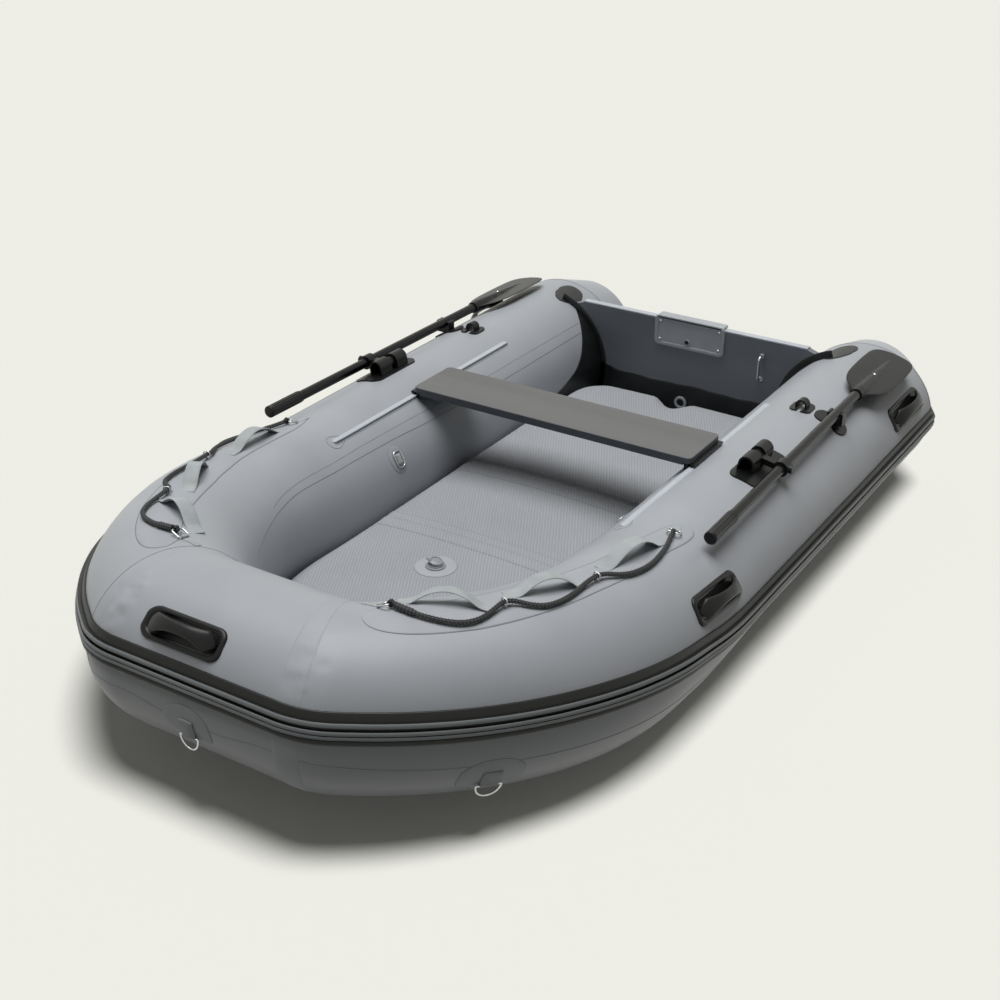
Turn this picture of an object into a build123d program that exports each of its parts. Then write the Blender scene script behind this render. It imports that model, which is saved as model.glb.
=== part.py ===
from build123d import *
import os
from math import atan2, cos, degrees, pi, radians, sin, tan

# An inflatable dinghy with a soft air floor, a board transom and a pair of stowed oars.
# Millimetres. +X is the port side, +Y is aft, +Z is up. The origin is on the floor
# under the middle of the boat. Port pieces are drawn and mirrored to starboard.

# ---------------------------------------------------------------- driving dimensions
length = 2650.0              # bow to the ends of the stern cones, rubbing strake included
tube_spacing = 1082.0        # between the centrelines of the two side tubes
tube_radius = 220.0          # side tubes
bow_radius = 200.0           # the tubes taper to this at the bow
bow_front_width = 437.0      # between the two mitred corners of the bow tube
bow_corner_turn = 36.6       # degrees the tube turns at each mitred corner
bow_corner_run = 15.0        # straight run aft of each corner, before the long curve
bow_kick_length = 826.0      # from the bow tube's axis aft to where the tubes lift
bow_rise = 110.0             # how far the bow tube's axis stands above the side tubes'
bow_kick_radius = 1200.0     # the lift starts in a curve of this radius
cone_length = 165.0          # tapering stern cone of each side tube
cone_end_radius = 150.0
cone_end_rise = 25.0         # the cone's small end is this far above the tube's axis
cone_end_inset = 30.0        # and this far inboard of it
cone_cap_dome = 8.0
cone_cap_edge = 34.0         # rounding where the cone meets its end cap
glue_gap = 0.4               # bond line between a tube and what is glued on it
pad_thickness = 4.0          # moulded pads bedded on the tubes
strap_thickness = 1.6        # webbing
fit_gap = 0.3                # between pieces that lie on each other

strake_angle = 10.6          # degrees above the tube's widest line
strake_width = 70.0
strake_band_height = 5.0
strake_rib_height = 14.0
strake_bead_height = 10.5
strake_end = 95.0            # strake stops this far ahead of the stern end

transom_setback = 308.0      # transom's inner face to the stern end
transom_thickness = 24.0
transom_top = 434.0
transom_top_width = 780.0
transom_skirt = 62.0         # how far the board reaches into each tube below its top edge
transom_shoulder = 22.0      # drop from the top edge to where the board meets the tubes
transom_bottom = 58.0
transom_cap_height = 5.0
flange_width = 99.0
flange_thickness = 3.0
flange_foot_height = 30.0    # its foot on the board, measured out from the tube
flange_start_angle = 112.0   # degrees round the tube, from its top inboard and down
flange_end_angle = 215.0
drain_height = 164.0
drain_offset = -20.0
drain_radius = 11.0
motor_pad_width = 230.0
motor_pad_height = 104.0
motor_pad_thickness = 7.0
eye_offset = 247.0
eye_height = 346.5
eye_span = 77.0

deck_top = 223.0             # air floor's height where it meets the side tubes
deck_crown = 12.0
deck_front_inset = 160.0     # the floor starts this far aft of the bow tube's axis
deck_bottom = 128.0
deck_rear_gap = 14.0
deck_nose_run = 110.0        # length of the after end's downward curve
deck_drain_notch = 40.0      # radius of the cut-out round the drain
keel_height = 22.0           # underside of the keel above the ground
bilge_height = 66.0          # where the bottom cloth meets the side tubes

thwart_length = 875.0
thwart_width = 184.0
thwart_thickness = 22.0
thwart_underside = 424.0
thwart_setback = 1127.0      # thwart's middle to the stern end
thwart_corner = 16.0
rail_length = 889.0
rail_setback = 1158.5        # rail's middle to the stern end
rail_angle = 118.0           # degrees round the tube from its outer side
rail_width = 34.0
rail_thickness = 2.5
rail_stem = 4.0
rail_bead_height = 10.0      # bead's centre above the tube
rail_bead_radius = 4.0
runner_width = 32.0
runner_recess = 6.0          # depth of the groove for the runner under the thwart
runner_play = 1.0

handle_length = 236.0
handle_width = 66.0
handle_angle = 32.0
handle_height = 40.0
handle_grip_width = 30.0
handle_grip_thickness = 10.0
handle_fore_setback = 1670.0
handle_aft_setback = 355.0
bow_handle_angle = 41.0
bow_fitting_offset = -20.0   # the bow handle and tow ring sit this far off the middle

oar_length = 1350.0
oar_shaft_radius = 14.0
oar_grip_radius = 17.0
oar_grip_length = 135.0
oar_grip_groove_pitch = 9.0
oar_grip_grooves = 9
oar_grip_groove_depth = 1.2
oar_grip_end_setback = 1584.0   # handle end to the stern end
oar_toe_in = 1.0             # degrees the blade end lies inboard of the handle end
blade_length = 352.0
blade_tip_width = 145.0
blade_root_width = 96.0
blade_thickness = 4.5
blade_socket_radius = 18.0
oarlock_setback = 1137.0     # oarlock's middle to the stern end
oarlock_pin_angle = 80.0
oarlock_pin_height = 25.0
oarlock_pin_radius = 5.0
pin_clearance = 0.08
oarlock_arm = 75.0           # pin's axis to the oar's axis
oarlock_base_length = 205.0
oarlock_base_width = 92.0
oarlock_knuckle_radius = 22.0
oarlock_knuckle_length = 50.0
oarlock_gap = 26.0           # between the two knuckles, for the collar's own knuckle
oarlock_play = 1.0
oarlock_wall = 5.0
oarlock_web = 8.0
oar_rest_drop = 10.5         # degrees the collar's arm slopes down to the stowed oar
collar_knuckle_radius = 15.0
collar_length = 30.0
collar_wall = 7.0
collar_arm_depth = 16.0

rope_diameter = 11.0
rope_eye_wall = 7.0
lifeline_ring_length = 28.0
lifeline_ring_width = 32.0
lifeline_ring_wire = 4.0
lifeline_ring_tilt = 18.0    # degrees its far bar is lifted off the tube
lifeline_ring_corner = 6.0
lifeline_strap_width = 18.0
ring_strap_length = 44.0
guide_ring_height = 18.5
guide_ring_width = 17.0
guide_ring_wire = 3.0
guide_ring_corner = 5.0
guide_strap_width = 5.0
guide_strap_length = 26.0
tow_ring_length = 42.0
tow_ring_width = 52.0
tow_ring_wire = 6.0
tow_ring_corner = 9.0
tow_strap_width = 32.0

tow_ring_place = 272.0       # round the tube from the bow corner
tow_ring_angle = -31.0
grab_loop_width = 30.0
grab_loop_rise = 35.0
grab_loop_thickness = 2.4
grab_loop_foot = 30.0
grab_loop_dip = 8.0          # how far each end of its arch reaches into its foot

clip_setback = 739.0
loop_pad_setback = 737.0
loop_pad_angle = 88.0
tie_ring_setback = 1424.0
tie_ring_angle = 152.0
tie_ring_length = 32.0
tie_ring_width = 38.0
tie_ring_wire = 4.0
tie_ring_tilt = 8.0
tie_strap_width = 24.0
deck_valve_setback = 1733.0
deck_valve_offset = -12.0
valve_flange_radius = 30.0
valve_cap_radius = 23.0
valve_height = 17.0

# ---------------------------------------------------------------- worked-out places
bow_end = -length / 2
stern_end = length / 2
tube_x = tube_spacing / 2
tube_z = tube_radius
strake_reach = bow_radius + glue_gap + strake_rib_height
kick_tilt = atan2(bow_rise, bow_kick_length)
bow_y = bow_end + strake_reach * cos(kick_tilt + radians(strake_angle - 8))
bow_z = tube_z + bow_rise
corner_x = bow_front_width / 2
corner_turn = radians(bow_corner_turn)
arc_radius = (tube_x - corner_x - bow_corner_run * cos(corner_turn)) / (1 - sin(corner_turn))
arc_length = arc_radius * (pi / 2 - corner_turn)
arc_end_v = bow_corner_run * sin(corner_turn) + arc_radius * cos(corner_turn)
kick_y = bow_y + bow_kick_length
kick_v = bow_kick_length / cos(kick_tilt)
kick_tangent = bow_kick_radius * tan(kick_tilt / 2)
s_arc = bow_corner_run
s_arc_end = s_arc + arc_length
s_kick = s_arc_end + kick_v - kick_tangent - arc_end_v
s_level = s_kick + bow_kick_radius * kick_tilt
level_y = kick_y + kick_tangent
cone_y = stern_end - cone_length
s_cone = s_level + cone_y - level_y
cone_run = cone_length - cone_cap_dome
transom_y = stern_end - transom_setback


def centreline(s):
    """Point, direction aft, outboard and upward directions, radius, s along the port tube
    from the bow corner."""
    share = min(max(s / s_kick, 0), 1)
    radius = bow_radius + (tube_radius - bow_radius) * share
    if s < s_kick:
        if s < s_arc:
            turn = corner_turn
            x = corner_x + s * cos(corner_turn)
            v = s * sin(corner_turn)
        elif s < s_arc_end:
            turn = corner_turn + (s - s_arc) / arc_radius
            x = corner_x + s_arc * cos(corner_turn) + arc_radius * (sin(turn) - sin(corner_turn))
            v = s_arc * sin(corner_turn) + arc_radius * (cos(corner_turn) - cos(turn))
        else:
            turn = pi / 2
            x = tube_x
            v = arc_end_v + s - s_arc_end
        tilt = kick_tilt
        y = bow_y + v * cos(tilt)
        z = bow_z - v * sin(tilt)
    else:
        turn = pi / 2
        x = tube_x
        if s < s_level:
            tilt = kick_tilt - (s - s_kick) / bow_kick_radius
            y = level_y - bow_kick_radius * sin(tilt)
            z = tube_z + bow_kick_radius * (1 - cos(tilt))
        else:
            tilt = 0
            y = level_y + s - s_level
            z = tube_z
        if s > s_cone:
            taper = (s - s_cone) / cone_run
            x = tube_x - cone_end_inset * taper
            z = tube_z + cone_end_rise * taper
            radius = tube_radius + (cone_end_radius - tube_radius) * taper
    along = Vector(cos(turn), sin(turn) * cos(tilt), -sin(turn) * sin(tilt))
    up = Vector(0, sin(tilt), cos(tilt))
    out = along.cross(up)
    return Vector(x, y, z), along, out, up, radius


def section(s):
    """Plane across the port tube at s, x outboard, normal pointing forward."""
    point, along, out, up, radius = centreline(s)
    return Plane(origin=point, x_dir=out, z_dir=out.cross(up))


def s_at(y):
    """Distance along the tube at a place on its straight, level part."""
    return s_level + y - level_y


def on_tube(s, angle, lift=0.0):
    """Plane lying on the port tube at s and an angle round it from its outer side.
    x runs aft, z points away from the tube."""
    point, along, out, up, radius = centreline(s)
    away = out * cos(radians(angle)) + up * sin(radians(angle))
    return Plane(origin=point + away * (radius + lift), x_dir=along, z_dir=away)


def at_height(y, angle, lift=0.0):
    return on_tube(s_at(y), angle, lift)


mitre_point = Vector(corner_x, bow_y, bow_z)
half_turn = corner_turn / 2
mitre_normal = Vector(cos(half_turn), sin(half_turn) * cos(kick_tilt), -sin(half_turn) * sin(kick_tilt))
port_mitre = Plane(origin=mitre_point, x_dir=(0, sin(kick_tilt), cos(kick_tilt)), z_dir=mitre_normal)
starboard_mitre = Plane(
    origin=(-mitre_point.X, mitre_point.Y, mitre_point.Z),
    x_dir=(0, sin(kick_tilt), cos(kick_tilt)),
    z_dir=(-mitre_normal.X, mitre_normal.Y, mitre_normal.Z),
)
mitre_overrun = (bow_radius + 40) * tan(half_turn) + 15
loft_stations = [-mitre_overrun, -mitre_overrun / 2, s_arc]
loft_stations += [s_arc + arc_length * k / 6 for k in range(1, 7)]
loft_stations += [s_kick, (s_kick + s_level) / 2, s_level]


def side_tube(extra=0.0):
    """The port tube from its mitre to the stern cone, as a solid fattened by extra."""
    with BuildPart() as tube:
        for s in loft_stations:
            with BuildSketch(section(s)):
                Circle(centreline(s)[4] + extra)
        loft()
        with BuildSketch(section(s_level)):
            Circle(tube_radius + extra)
        extrude(amount=-(cone_y - level_y))
        split(bisect_by=port_mitre, keep=Keep.TOP)
    return tube


def front_tube(extra=0.0):
    """The bow tube between its two mitres, fattened by extra."""
    with BuildPart() as tube:
        with BuildSketch(Plane(origin=(0, bow_y, bow_z), x_dir=(0, 1, 0), z_dir=(1, 0, 0))):
            Circle(bow_radius + extra)
        extrude(amount=corner_x + mitre_overrun, both=True)
        split(bisect_by=port_mitre, keep=Keep.BOTTOM)
        split(bisect_by=starboard_mitre, keep=Keep.BOTTOM)
    return tube


def mirrored(port_part):
    """The starboard twin of a port piece."""
    with BuildPart() as twin:
        mirror(port_part, about=Plane.YZ)
    return twin


os.makedirs("parts", exist_ok=True)


def keep(builder, name):
    """Labels a finished piece and writes it."""
    builder.part.label = name
    export_step(builder.part, "parts/" + name + ".step")


# ---------------------------------------------------------------- tubes
tube_bow = front_tube()
keep(tube_bow, "tube_bow")
tube_port = side_tube()
keep(tube_port, "tube_port")
tube_starboard = mirrored(tube_port.part)
keep(tube_starboard, "tube_starboard")


def stern_cone():
    """Tapering end of the port tube with a rounded cap."""
    with BuildPart() as cone:
        with BuildSketch(section(s_cone)):
            Circle(tube_radius)
        with BuildSketch(section(s_cone + cone_run)):
            Circle(cone_end_radius)
        loft()
        fillet(cone.edges().sort_by(Axis.Y)[-1], cone_cap_edge)
    return cone


stern_cone_port = stern_cone()
keep(stern_cone_port, "stern_cone_port")
keep(mirrored(stern_cone_port.part), "stern_cone_starboard")

# Fattened copies of the tubes that seat whatever is glued on them.
side_skin = side_tube(glue_gap).part
side_skins = side_skin + side_skin.mirror(Plane.YZ)
front_skin = front_tube(glue_gap).part
side_pad_skin = side_tube(glue_gap + pad_thickness).part
front_pad_skin = front_tube(glue_gap + pad_thickness).part
pad_bed = 30.0


# ---------------------------------------------------------------- rubbing strake
def strake_face(radius):
    """The strake's section: a rounded bead below, three square ribs and a flat band above."""
    half = strake_width / 2
    band = strake_band_height
    rib = strake_rib_height
    bead = strake_bead_height
    steps = [(-half, 0), (-half + 0.8, bead - 5), (-half + 3.5, bead - 1.2), (-half + 8, bead)]
    steps += [(-23, bead - 1.2), (-20.2, bead - 4), (-19, rib - 1), (-12, rib - 1), (-11.6, rib - 4)]
    steps += [(-10.4, rib - 4), (-10, rib), (-2, rib), (-1, band), (4, band), (5, rib), (14, rib)]
    steps += [(15, band), (half - 2, band), (half, 0)]
    points = []
    for place, height in steps:
        angle = radians(strake_angle) + place / radius
        reach = radius + glue_gap + height
        points.append((reach * cos(angle), reach * sin(angle)))
    middle = radians(strake_angle)
    bed = ((radius + glue_gap) * cos(middle), (radius + glue_gap) * sin(middle))
    with BuildSketch() as face:
        with BuildLine():
            Polyline(*points)
            ThreePointArc(points[-1], bed, points[0])
        make_face()
    return face.sketch


def side_strake():
    with BuildPart() as strake:
        for s in loft_stations:
            with BuildSketch(section(s)):
                add(strake_face(centreline(s)[4]))
        loft()
        with BuildSketch(section(s_level)):
            add(strake_face(tube_radius))
        extrude(amount=-(cone_y - level_y))
        with BuildSketch(section(s_cone)):
            add(strake_face(tube_radius))
        with BuildSketch(section(s_cone + cone_length - strake_end)):
            add(strake_face(centreline(s_cone + cone_length - strake_end)[4]))
        loft()
        split(bisect_by=port_mitre, keep=Keep.TOP)
    return strake


bow_section = Plane(
    origin=(0, bow_y, bow_z),
    x_dir=(0, -cos(kick_tilt), sin(kick_tilt)),
    z_dir=(-1, 0, 0),
)


def front_strake():
    with BuildPart() as strake:
        with BuildSketch(bow_section):
            add(strake_face(bow_radius))
        extrude(amount=corner_x + mitre_overrun, both=True)
        split(bisect_by=port_mitre, keep=Keep.BOTTOM)
        split(bisect_by=starboard_mitre, keep=Keep.BOTTOM)
    return strake


keep(front_strake(), "rubbing_strake_bow")
strake_port = side_strake()
keep(strake_port, "rubbing_strake_port")
keep(mirrored(strake_port.part), "rubbing_strake_starboard")


# ---------------------------------------------------------------- bottom cloth and air floor
def bottom_section(w, top, side, keel):
    """V-shaped section of the bottom, in a plane across the boat."""
    with BuildSketch() as face:
        with BuildLine():
            Polyline((-w, top), (w, top), (w, side), (0, keel), (-w, side), close=True)
        make_face()
    return face.sketch


def across(y):
    """Plane across the whole boat at y, x to port, y up, facing the bow."""
    return Plane(origin=(0, y, 0), x_dir=(1, 0, 0), z_dir=(0, -1, 0))


bottom_top = deck_bottom - fit_gap
bilge_x = tube_x - 141


def bottom_form(lift):
    """Loft of the bottom from the transom to the bow, with its upper side raised by lift."""
    with BuildPart() as form:
        for y, w, top, side, keel in (
            (transom_y - fit_gap, bilge_x, bottom_top, bilge_height, keel_height),
            (kick_y, bilge_x, bottom_top, bilge_height, keel_height),
            (bow_y + 460, bilge_x, bottom_top, bilge_height + 44, keel_height + 26),
            (bow_y + 290, bilge_x - 30, bottom_top, bottom_top - 4, keel_height + 62),
            (bow_y + 160, bilge_x - 110, bottom_top, bottom_top - 3, keel_height + 98),
            (bow_y + 70, bilge_x - 220, bottom_top + 22, bottom_top + 19, keel_height + 118),
        ):
            with BuildSketch(across(y)):
                add(bottom_section(w, top + lift, side, keel))
        loft(ruled=True)
    return form.part


with BuildPart() as bottom_cloth:
    add(bottom_form(0))
    add(side_skins, mode=Mode.SUBTRACT)
    add(front_skin, mode=Mode.SUBTRACT)
keep(bottom_cloth, "bottom_hull")

deck_rear = transom_y - deck_rear_gap
deck_half = tube_x - tube_radius + 60
deck_front = bow_y + deck_front_inset
deck_crown_top = deck_top + deck_crown


def deck_form(grow, underside):
    """The air floor's crowned block, its after end rounded down and notched for the drain."""
    edge = deck_top - 6 + grow
    with BuildPart() as form:
        with BuildSketch(across(deck_front)):
            with BuildLine():
                crown = ThreePointArc((-deck_half, edge), (0, deck_crown_top + grow), (deck_half, edge))
                Polyline(crown @ 1, (deck_half, underside), (-deck_half, underside), crown @ 0)
            make_face()
        extrude(amount=-(deck_rear - deck_front))
        with BuildSketch(Plane.YZ):
            with BuildLine():
                above = (deck_rear - deck_nose_run, deck_top + 60)
                drop = Line(above, (deck_rear - deck_nose_run, deck_crown_top + grow + 1))
                nose_end = deck_bottom + 30 + grow
                nose = TangentArc(drop @ 1, (deck_rear, nose_end), tangent=(1, 0))
                Polyline(nose @ 1, (deck_rear + 40, nose_end), (deck_rear + 40, deck_top + 60), above)
            make_face()
        extrude(amount=deck_half + 10, both=True, mode=Mode.SUBTRACT)
        with BuildSketch(Plane.XY.offset(underside - 1)):
            with Locations((drain_offset, deck_rear + 6)):
                Circle(deck_drain_notch - grow)
        extrude(amount=300, mode=Mode.SUBTRACT)
    return form.part


with BuildPart() as air_deck:
    add(deck_form(0, deck_bottom))
    add(bottom_form(fit_gap), mode=Mode.SUBTRACT)
    add(side_skins, mode=Mode.SUBTRACT)
    add(front_skin, mode=Mode.SUBTRACT)
keep(air_deck, "air_deck")

# ---------------------------------------------------------------- transom
with BuildPart() as transom:
    with BuildSketch(across(transom_y)):
        with BuildLine():
            Polyline(
                (-transom_top_width / 2, transom_top),
                (transom_top_width / 2, transom_top),
                (transom_top_width / 2 + transom_skirt, transom_top - transom_shoulder),
                (transom_top_width / 2 + transom_skirt, transom_bottom + 30),
                (0, transom_bottom - 14),
                (-transom_top_width / 2 - transom_skirt, transom_bottom + 30),
                (-transom_top_width / 2 - transom_skirt, transom_top - transom_shoulder),
                close=True,
            )
        make_face()
    extrude(amount=-transom_thickness)
    add(side_skins, mode=Mode.SUBTRACT)
    with BuildSketch(across(transom_y)):
        with Locations((drain_offset, drain_height)):
            Circle(drain_radius)
    extrude(amount=-transom_thickness, mode=Mode.SUBTRACT)
keep(transom, "transom")

with BuildPart() as transom_cap:
    with BuildSketch(across(transom_y)):
        with BuildLine():
            Polyline(
                (-transom_top_width / 2, transom_top + fit_gap),
                (transom_top_width / 2, transom_top + fit_gap),
                (transom_top_width / 2, transom_top + transom_cap_height),
                (-transom_top_width / 2, transom_top + transom_cap_height),
                close=True,
            )
        make_face()
    extrude(amount=-transom_thickness)
    fillet(transom_cap.edges().filter_by(Axis.X).group_by(Axis.Z)[-1], 2)
keep(transom_cap, "transom_cap")


def tube_section(y):
    """Plane across the level part of the port tube at y, centred on it, x outboard."""
    return Plane(origin=(tube_x, y, tube_z), x_dir=(1, 0, 0), z_dir=(0, -1, 0))


def tube_sleeve(y_fore, y_aft, inner, outer):
    """Ring round the level part of the port tube between two heights above its skin."""
    with BuildPart() as sleeve:
        with BuildSketch(tube_section(y_fore)):
            Circle(tube_radius + outer)
            Circle(tube_radius + inner, mode=Mode.SUBTRACT)
        extrude(amount=-(y_aft - y_fore))
    return sleeve.part


def sector(radius, start, stop):
    """Wedge of a disc between two angles, for trimming a sleeve."""
    with BuildSketch() as wedge:
        with BuildLine():
            p1 = (radius * cos(radians(start)), radius * sin(radians(start)))
            p2 = (radius * cos(radians(stop)), radius * sin(radians(stop)))
            middle = radians((start + stop) / 2)
            p3 = (radius * cos(middle), radius * sin(middle))
            Polyline(p1, (0, 0), p2)
            ThreePointArc(p2, p3, p1)
        make_face()
    return wedge.sketch


def transom_flange():
    """Rubber band that seals the transom to the port tube, with its foot on the board."""
    board = transom_y - fit_gap
    band = glue_gap + flange_thickness
    with BuildPart() as flange:
        add(tube_sleeve(transom_y - flange_width, board, glue_gap, band))
        add(tube_sleeve(board - flange_thickness, board, glue_gap, flange_foot_height))
        with BuildSketch(tube_section(transom_y - 2 * flange_width)):
            add(sector(400, flange_start_angle, flange_end_angle))
        extrude(amount=-3 * flange_width, mode=Mode.INTERSECT)
        add(deck_form(fit_gap, 0), mode=Mode.SUBTRACT)
        add(bottom_form(fit_gap), mode=Mode.SUBTRACT)
    return flange


flange_port = transom_flange()
keep(flange_port, "transom_flange_port")
keep(mirrored(flange_port.part), "transom_flange_starboard")

with BuildPart() as drain_plug:
    with BuildSketch(across(transom_y - fit_gap)):
        with Locations((drain_offset, drain_height)):
            Circle(21)
            Circle(drain_radius + 2, mode=Mode.SUBTRACT)
    extrude(amount=8)
    fillet(drain_plug.edges().group_by(Axis.Y)[0], 1.5)
keep(drain_plug, "drain_ring")


def motor_pad(y_face, facing):
    """Ribbed plastic plate that takes an outboard's clamp; facing is -1 inside, 1 outside."""
    z_low = transom_top - 12 - motor_pad_height
    plane = Plane(
        origin=(0, y_face, z_low + motor_pad_height / 2),
        x_dir=(-facing, 0, 0),
        z_dir=(0, facing, 0),
    )
    with BuildPart() as pad:
        with BuildSketch(plane):
            RectangleRounded(motor_pad_width, motor_pad_height, 14)
        extrude(amount=motor_pad_thickness)
        fillet(pad.faces().sort_by(Axis.Y)[0 if facing < 0 else -1].edges(), 2.5)
        with BuildSketch(plane.offset(motor_pad_thickness)):
            RectangleRounded(motor_pad_width - 28, motor_pad_height - 28, 8)
        extrude(amount=-3, mode=Mode.SUBTRACT)
        with BuildSketch(plane.offset(motor_pad_thickness)):
            with GridLocations(motor_pad_width - 15, motor_pad_height - 15, 2, 2):
                Circle(2.6)
        extrude(amount=-motor_pad_thickness, mode=Mode.SUBTRACT)
    return pad


keep(motor_pad(transom_y - fit_gap, -1), "motor_pad_inner")
keep(motor_pad(transom_y + transom_thickness + fit_gap, 1), "motor_pad_outer")

with BuildPart() as transom_eye:
    with BuildLine(Plane(origin=(eye_offset, 0, 0), x_dir=(0, 1, 0), z_dir=(1, 0, 0))) as rod:
        FilletPolyline(
            (transom_y - fit_gap, eye_height - eye_span / 2),
            (transom_y - fit_gap - 26, eye_height - eye_span / 2),
            (transom_y - fit_gap - 26, eye_height + eye_span / 2),
            (transom_y - fit_gap, eye_height + eye_span / 2),
            radius=11,
        )
    with BuildSketch(Plane(origin=rod.line @ 0, z_dir=(0, -1, 0))):
        Circle(4)
    sweep()
    with BuildSketch(across(transom_y - fit_gap)):
        with Locations((eye_offset, eye_height - eye_span / 2), (eye_offset, eye_height + eye_span / 2)):
            Circle(8)
    extrude(amount=3)
keep(transom_eye, "transom_eye")

# ---------------------------------------------------------------- seat rails and thwart
rail_y = stern_end - rail_setback
thwart_y = stern_end - thwart_setback


def rail_section():
    """Bolt-rope rail on the port tube: a glued strip, a stem and a round bead."""
    reach = tube_radius + glue_gap
    half = rail_width / 2 / tube_radius
    middle = radians(rail_angle)
    with BuildSketch() as face:
        with BuildLine():
            angles = (middle - half, middle, middle + half)
            inner = [(reach * cos(angle), reach * sin(angle)) for angle in angles]
            top = reach + rail_thickness
            outer = [(top * cos(angle), top * sin(angle)) for angle in angles]
            ThreePointArc(*inner)
            Line(inner[2], outer[2])
            ThreePointArc(*reversed(outer))
            Line(outer[0], inner[0])
        make_face()
        bead = tube_radius + rail_bead_height
        with Locations((bead * cos(middle), bead * sin(middle))):
            Circle(rail_bead_radius)
        stem = tube_radius + rail_bead_height / 2 + rail_thickness / 2
        with Locations(Location((stem * cos(middle), stem * sin(middle)), rail_angle)):
            Rectangle(rail_bead_height - rail_thickness, rail_stem)
    return face.sketch


with BuildPart() as seat_rail:
    with BuildSketch(tube_section(rail_y - rail_length / 2)):
        add(rail_section())
    extrude(amount=-rail_length)
    add(side_skin, mode=Mode.SUBTRACT)
keep(seat_rail, "seat_rail_port")
keep(mirrored(seat_rail.part), "seat_rail_starboard")

rail_away = Vector(cos(radians(rail_angle)), 0, sin(radians(rail_angle)))
bead_x = tube_x + (tube_radius + rail_bead_height) * rail_away.X
bead_z = tube_z + (tube_radius + rail_bead_height) * rail_away.Z
with BuildPart() as thwart:
    with BuildSketch(Plane.XY.offset(thwart_underside)):
        with Locations((0, thwart_y)):
            RectangleRounded(thwart_length, thwart_width, thwart_corner)
    extrude(amount=thwart_thickness)
    fillet(thwart.edges().group_by(Axis.Z)[-1], 3)
    with BuildSketch(Plane.XY.offset(thwart_underside)):
        with Locations((bead_x, thwart_y), (-bead_x, thwart_y)):
            Rectangle(runner_width + 2 * fit_gap, thwart_width)
    extrude(amount=runner_recess, mode=Mode.SUBTRACT)
keep(thwart, "thwart")


def runner():
    """Grooved runner under the port end of the thwart that slides on the rail's bead."""
    top = thwart_underside + runner_recess - fit_gap
    low = top - 24
    with BuildPart() as block:
        with BuildSketch(across(thwart_y - thwart_width / 2 + 6)):
            with Locations((bead_x, (top + low) / 2)):
                Rectangle(runner_width, top - low)
            with Locations((tube_x, tube_z)):
                Circle(tube_radius + rail_thickness + glue_gap + runner_play, mode=Mode.SUBTRACT)
            with Locations((bead_x, bead_z)):
                Circle(rail_bead_radius + runner_play, mode=Mode.SUBTRACT)
            with Locations(Location((bead_x - 8 * rail_away.X, bead_z - 8 * rail_away.Z), rail_angle)):
                Rectangle(16, rail_stem + 2 * runner_play, mode=Mode.SUBTRACT)
        extrude(amount=-(thwart_width - 12))
    return block


runner_port = runner()
keep(runner_port, "thwart_runner_port")
keep(mirrored(runner_port.part), "thwart_runner_starboard")


# ---------------------------------------------------------------- carry handles
def carry_handle(place, skin, pad_skin):
    """Moulded handle: a pad bedded on the tube and a grip that stands off it."""
    half = handle_length / 2
    side = Plane(origin=place.origin, x_dir=place.x_dir, z_dir=-place.y_dir)
    reach = handle_height - handle_grip_thickness
    with BuildPart() as handle:
        with BuildSketch(place):
            RectangleRounded(handle_length, handle_width, 20)
        extrude(amount=pad_bed, both=True)
        add(pad_skin, mode=Mode.INTERSECT)
        with BuildSketch(side):
            with BuildLine():
                FilletPolyline(
                    (-half + 14, 0),
                    (-half + 30, handle_height),
                    (half - 30, handle_height),
                    (half - 14, 0),
                    radius=24,
                )
                Line((half - 14, 0), (-half + 14, 0))
            make_face()
            with BuildLine():
                FilletPolyline(
                    (-half + 34, pad_thickness),
                    (-half + 44, reach),
                    (half - 44, reach),
                    (half - 34, pad_thickness),
                    radius=14,
                )
                Line((half - 34, pad_thickness), (-half + 34, pad_thickness))
            make_face(mode=Mode.SUBTRACT)
        extrude(amount=handle_grip_width / 2, both=True)
        add(skin, mode=Mode.SUBTRACT)
    return handle


fore_place = on_tube(s_at(stern_end - handle_fore_setback), handle_angle, glue_gap)
aft_place = on_tube(s_at(stern_end - handle_aft_setback), handle_angle, glue_gap)
handle_port_fore = carry_handle(fore_place, side_skin, side_pad_skin)
handle_port_aft = carry_handle(aft_place, side_skin, side_pad_skin)
keep(handle_port_fore, "carry_handle_port_fore")
keep(handle_port_aft, "carry_handle_port_aft")
keep(mirrored(handle_port_fore.part), "carry_handle_starboard_fore")
keep(mirrored(handle_port_aft.part), "carry_handle_starboard_aft")
bow_lean = radians(bow_handle_angle) + kick_tilt
bow_away = Vector(0, -cos(bow_lean), sin(bow_lean))
bow_fitting_axis = Vector(bow_fitting_offset, bow_y, bow_z)
bow_place = Plane(
    origin=bow_fitting_axis + bow_away * (bow_radius + glue_gap),
    x_dir=(1, 0, 0),
    z_dir=bow_away,
)
keep(carry_handle(bow_place, front_skin, front_pad_skin), "carry_handle_bow")


# ---------------------------------------------------------------- oars and oarlocks
lock_y = stern_end - oarlock_setback
pin_angle = radians(oarlock_pin_angle)
pin_x = tube_x + (tube_radius + oarlock_pin_height) * cos(pin_angle)
pin_z = tube_z + (tube_radius + oarlock_pin_height) * sin(pin_angle)
oar_x = pin_x + oarlock_arm * cos(radians(oar_rest_drop))
oar_z = pin_z - oarlock_arm * sin(radians(oar_rest_drop))
toe = radians(oar_toe_in)
oar_aft = Vector(-sin(toe), cos(toe), 0)
oar_grip_y = stern_end - oar_grip_end_setback
oar_start = (oar_grip_y - lock_y) / cos(toe)


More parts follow.
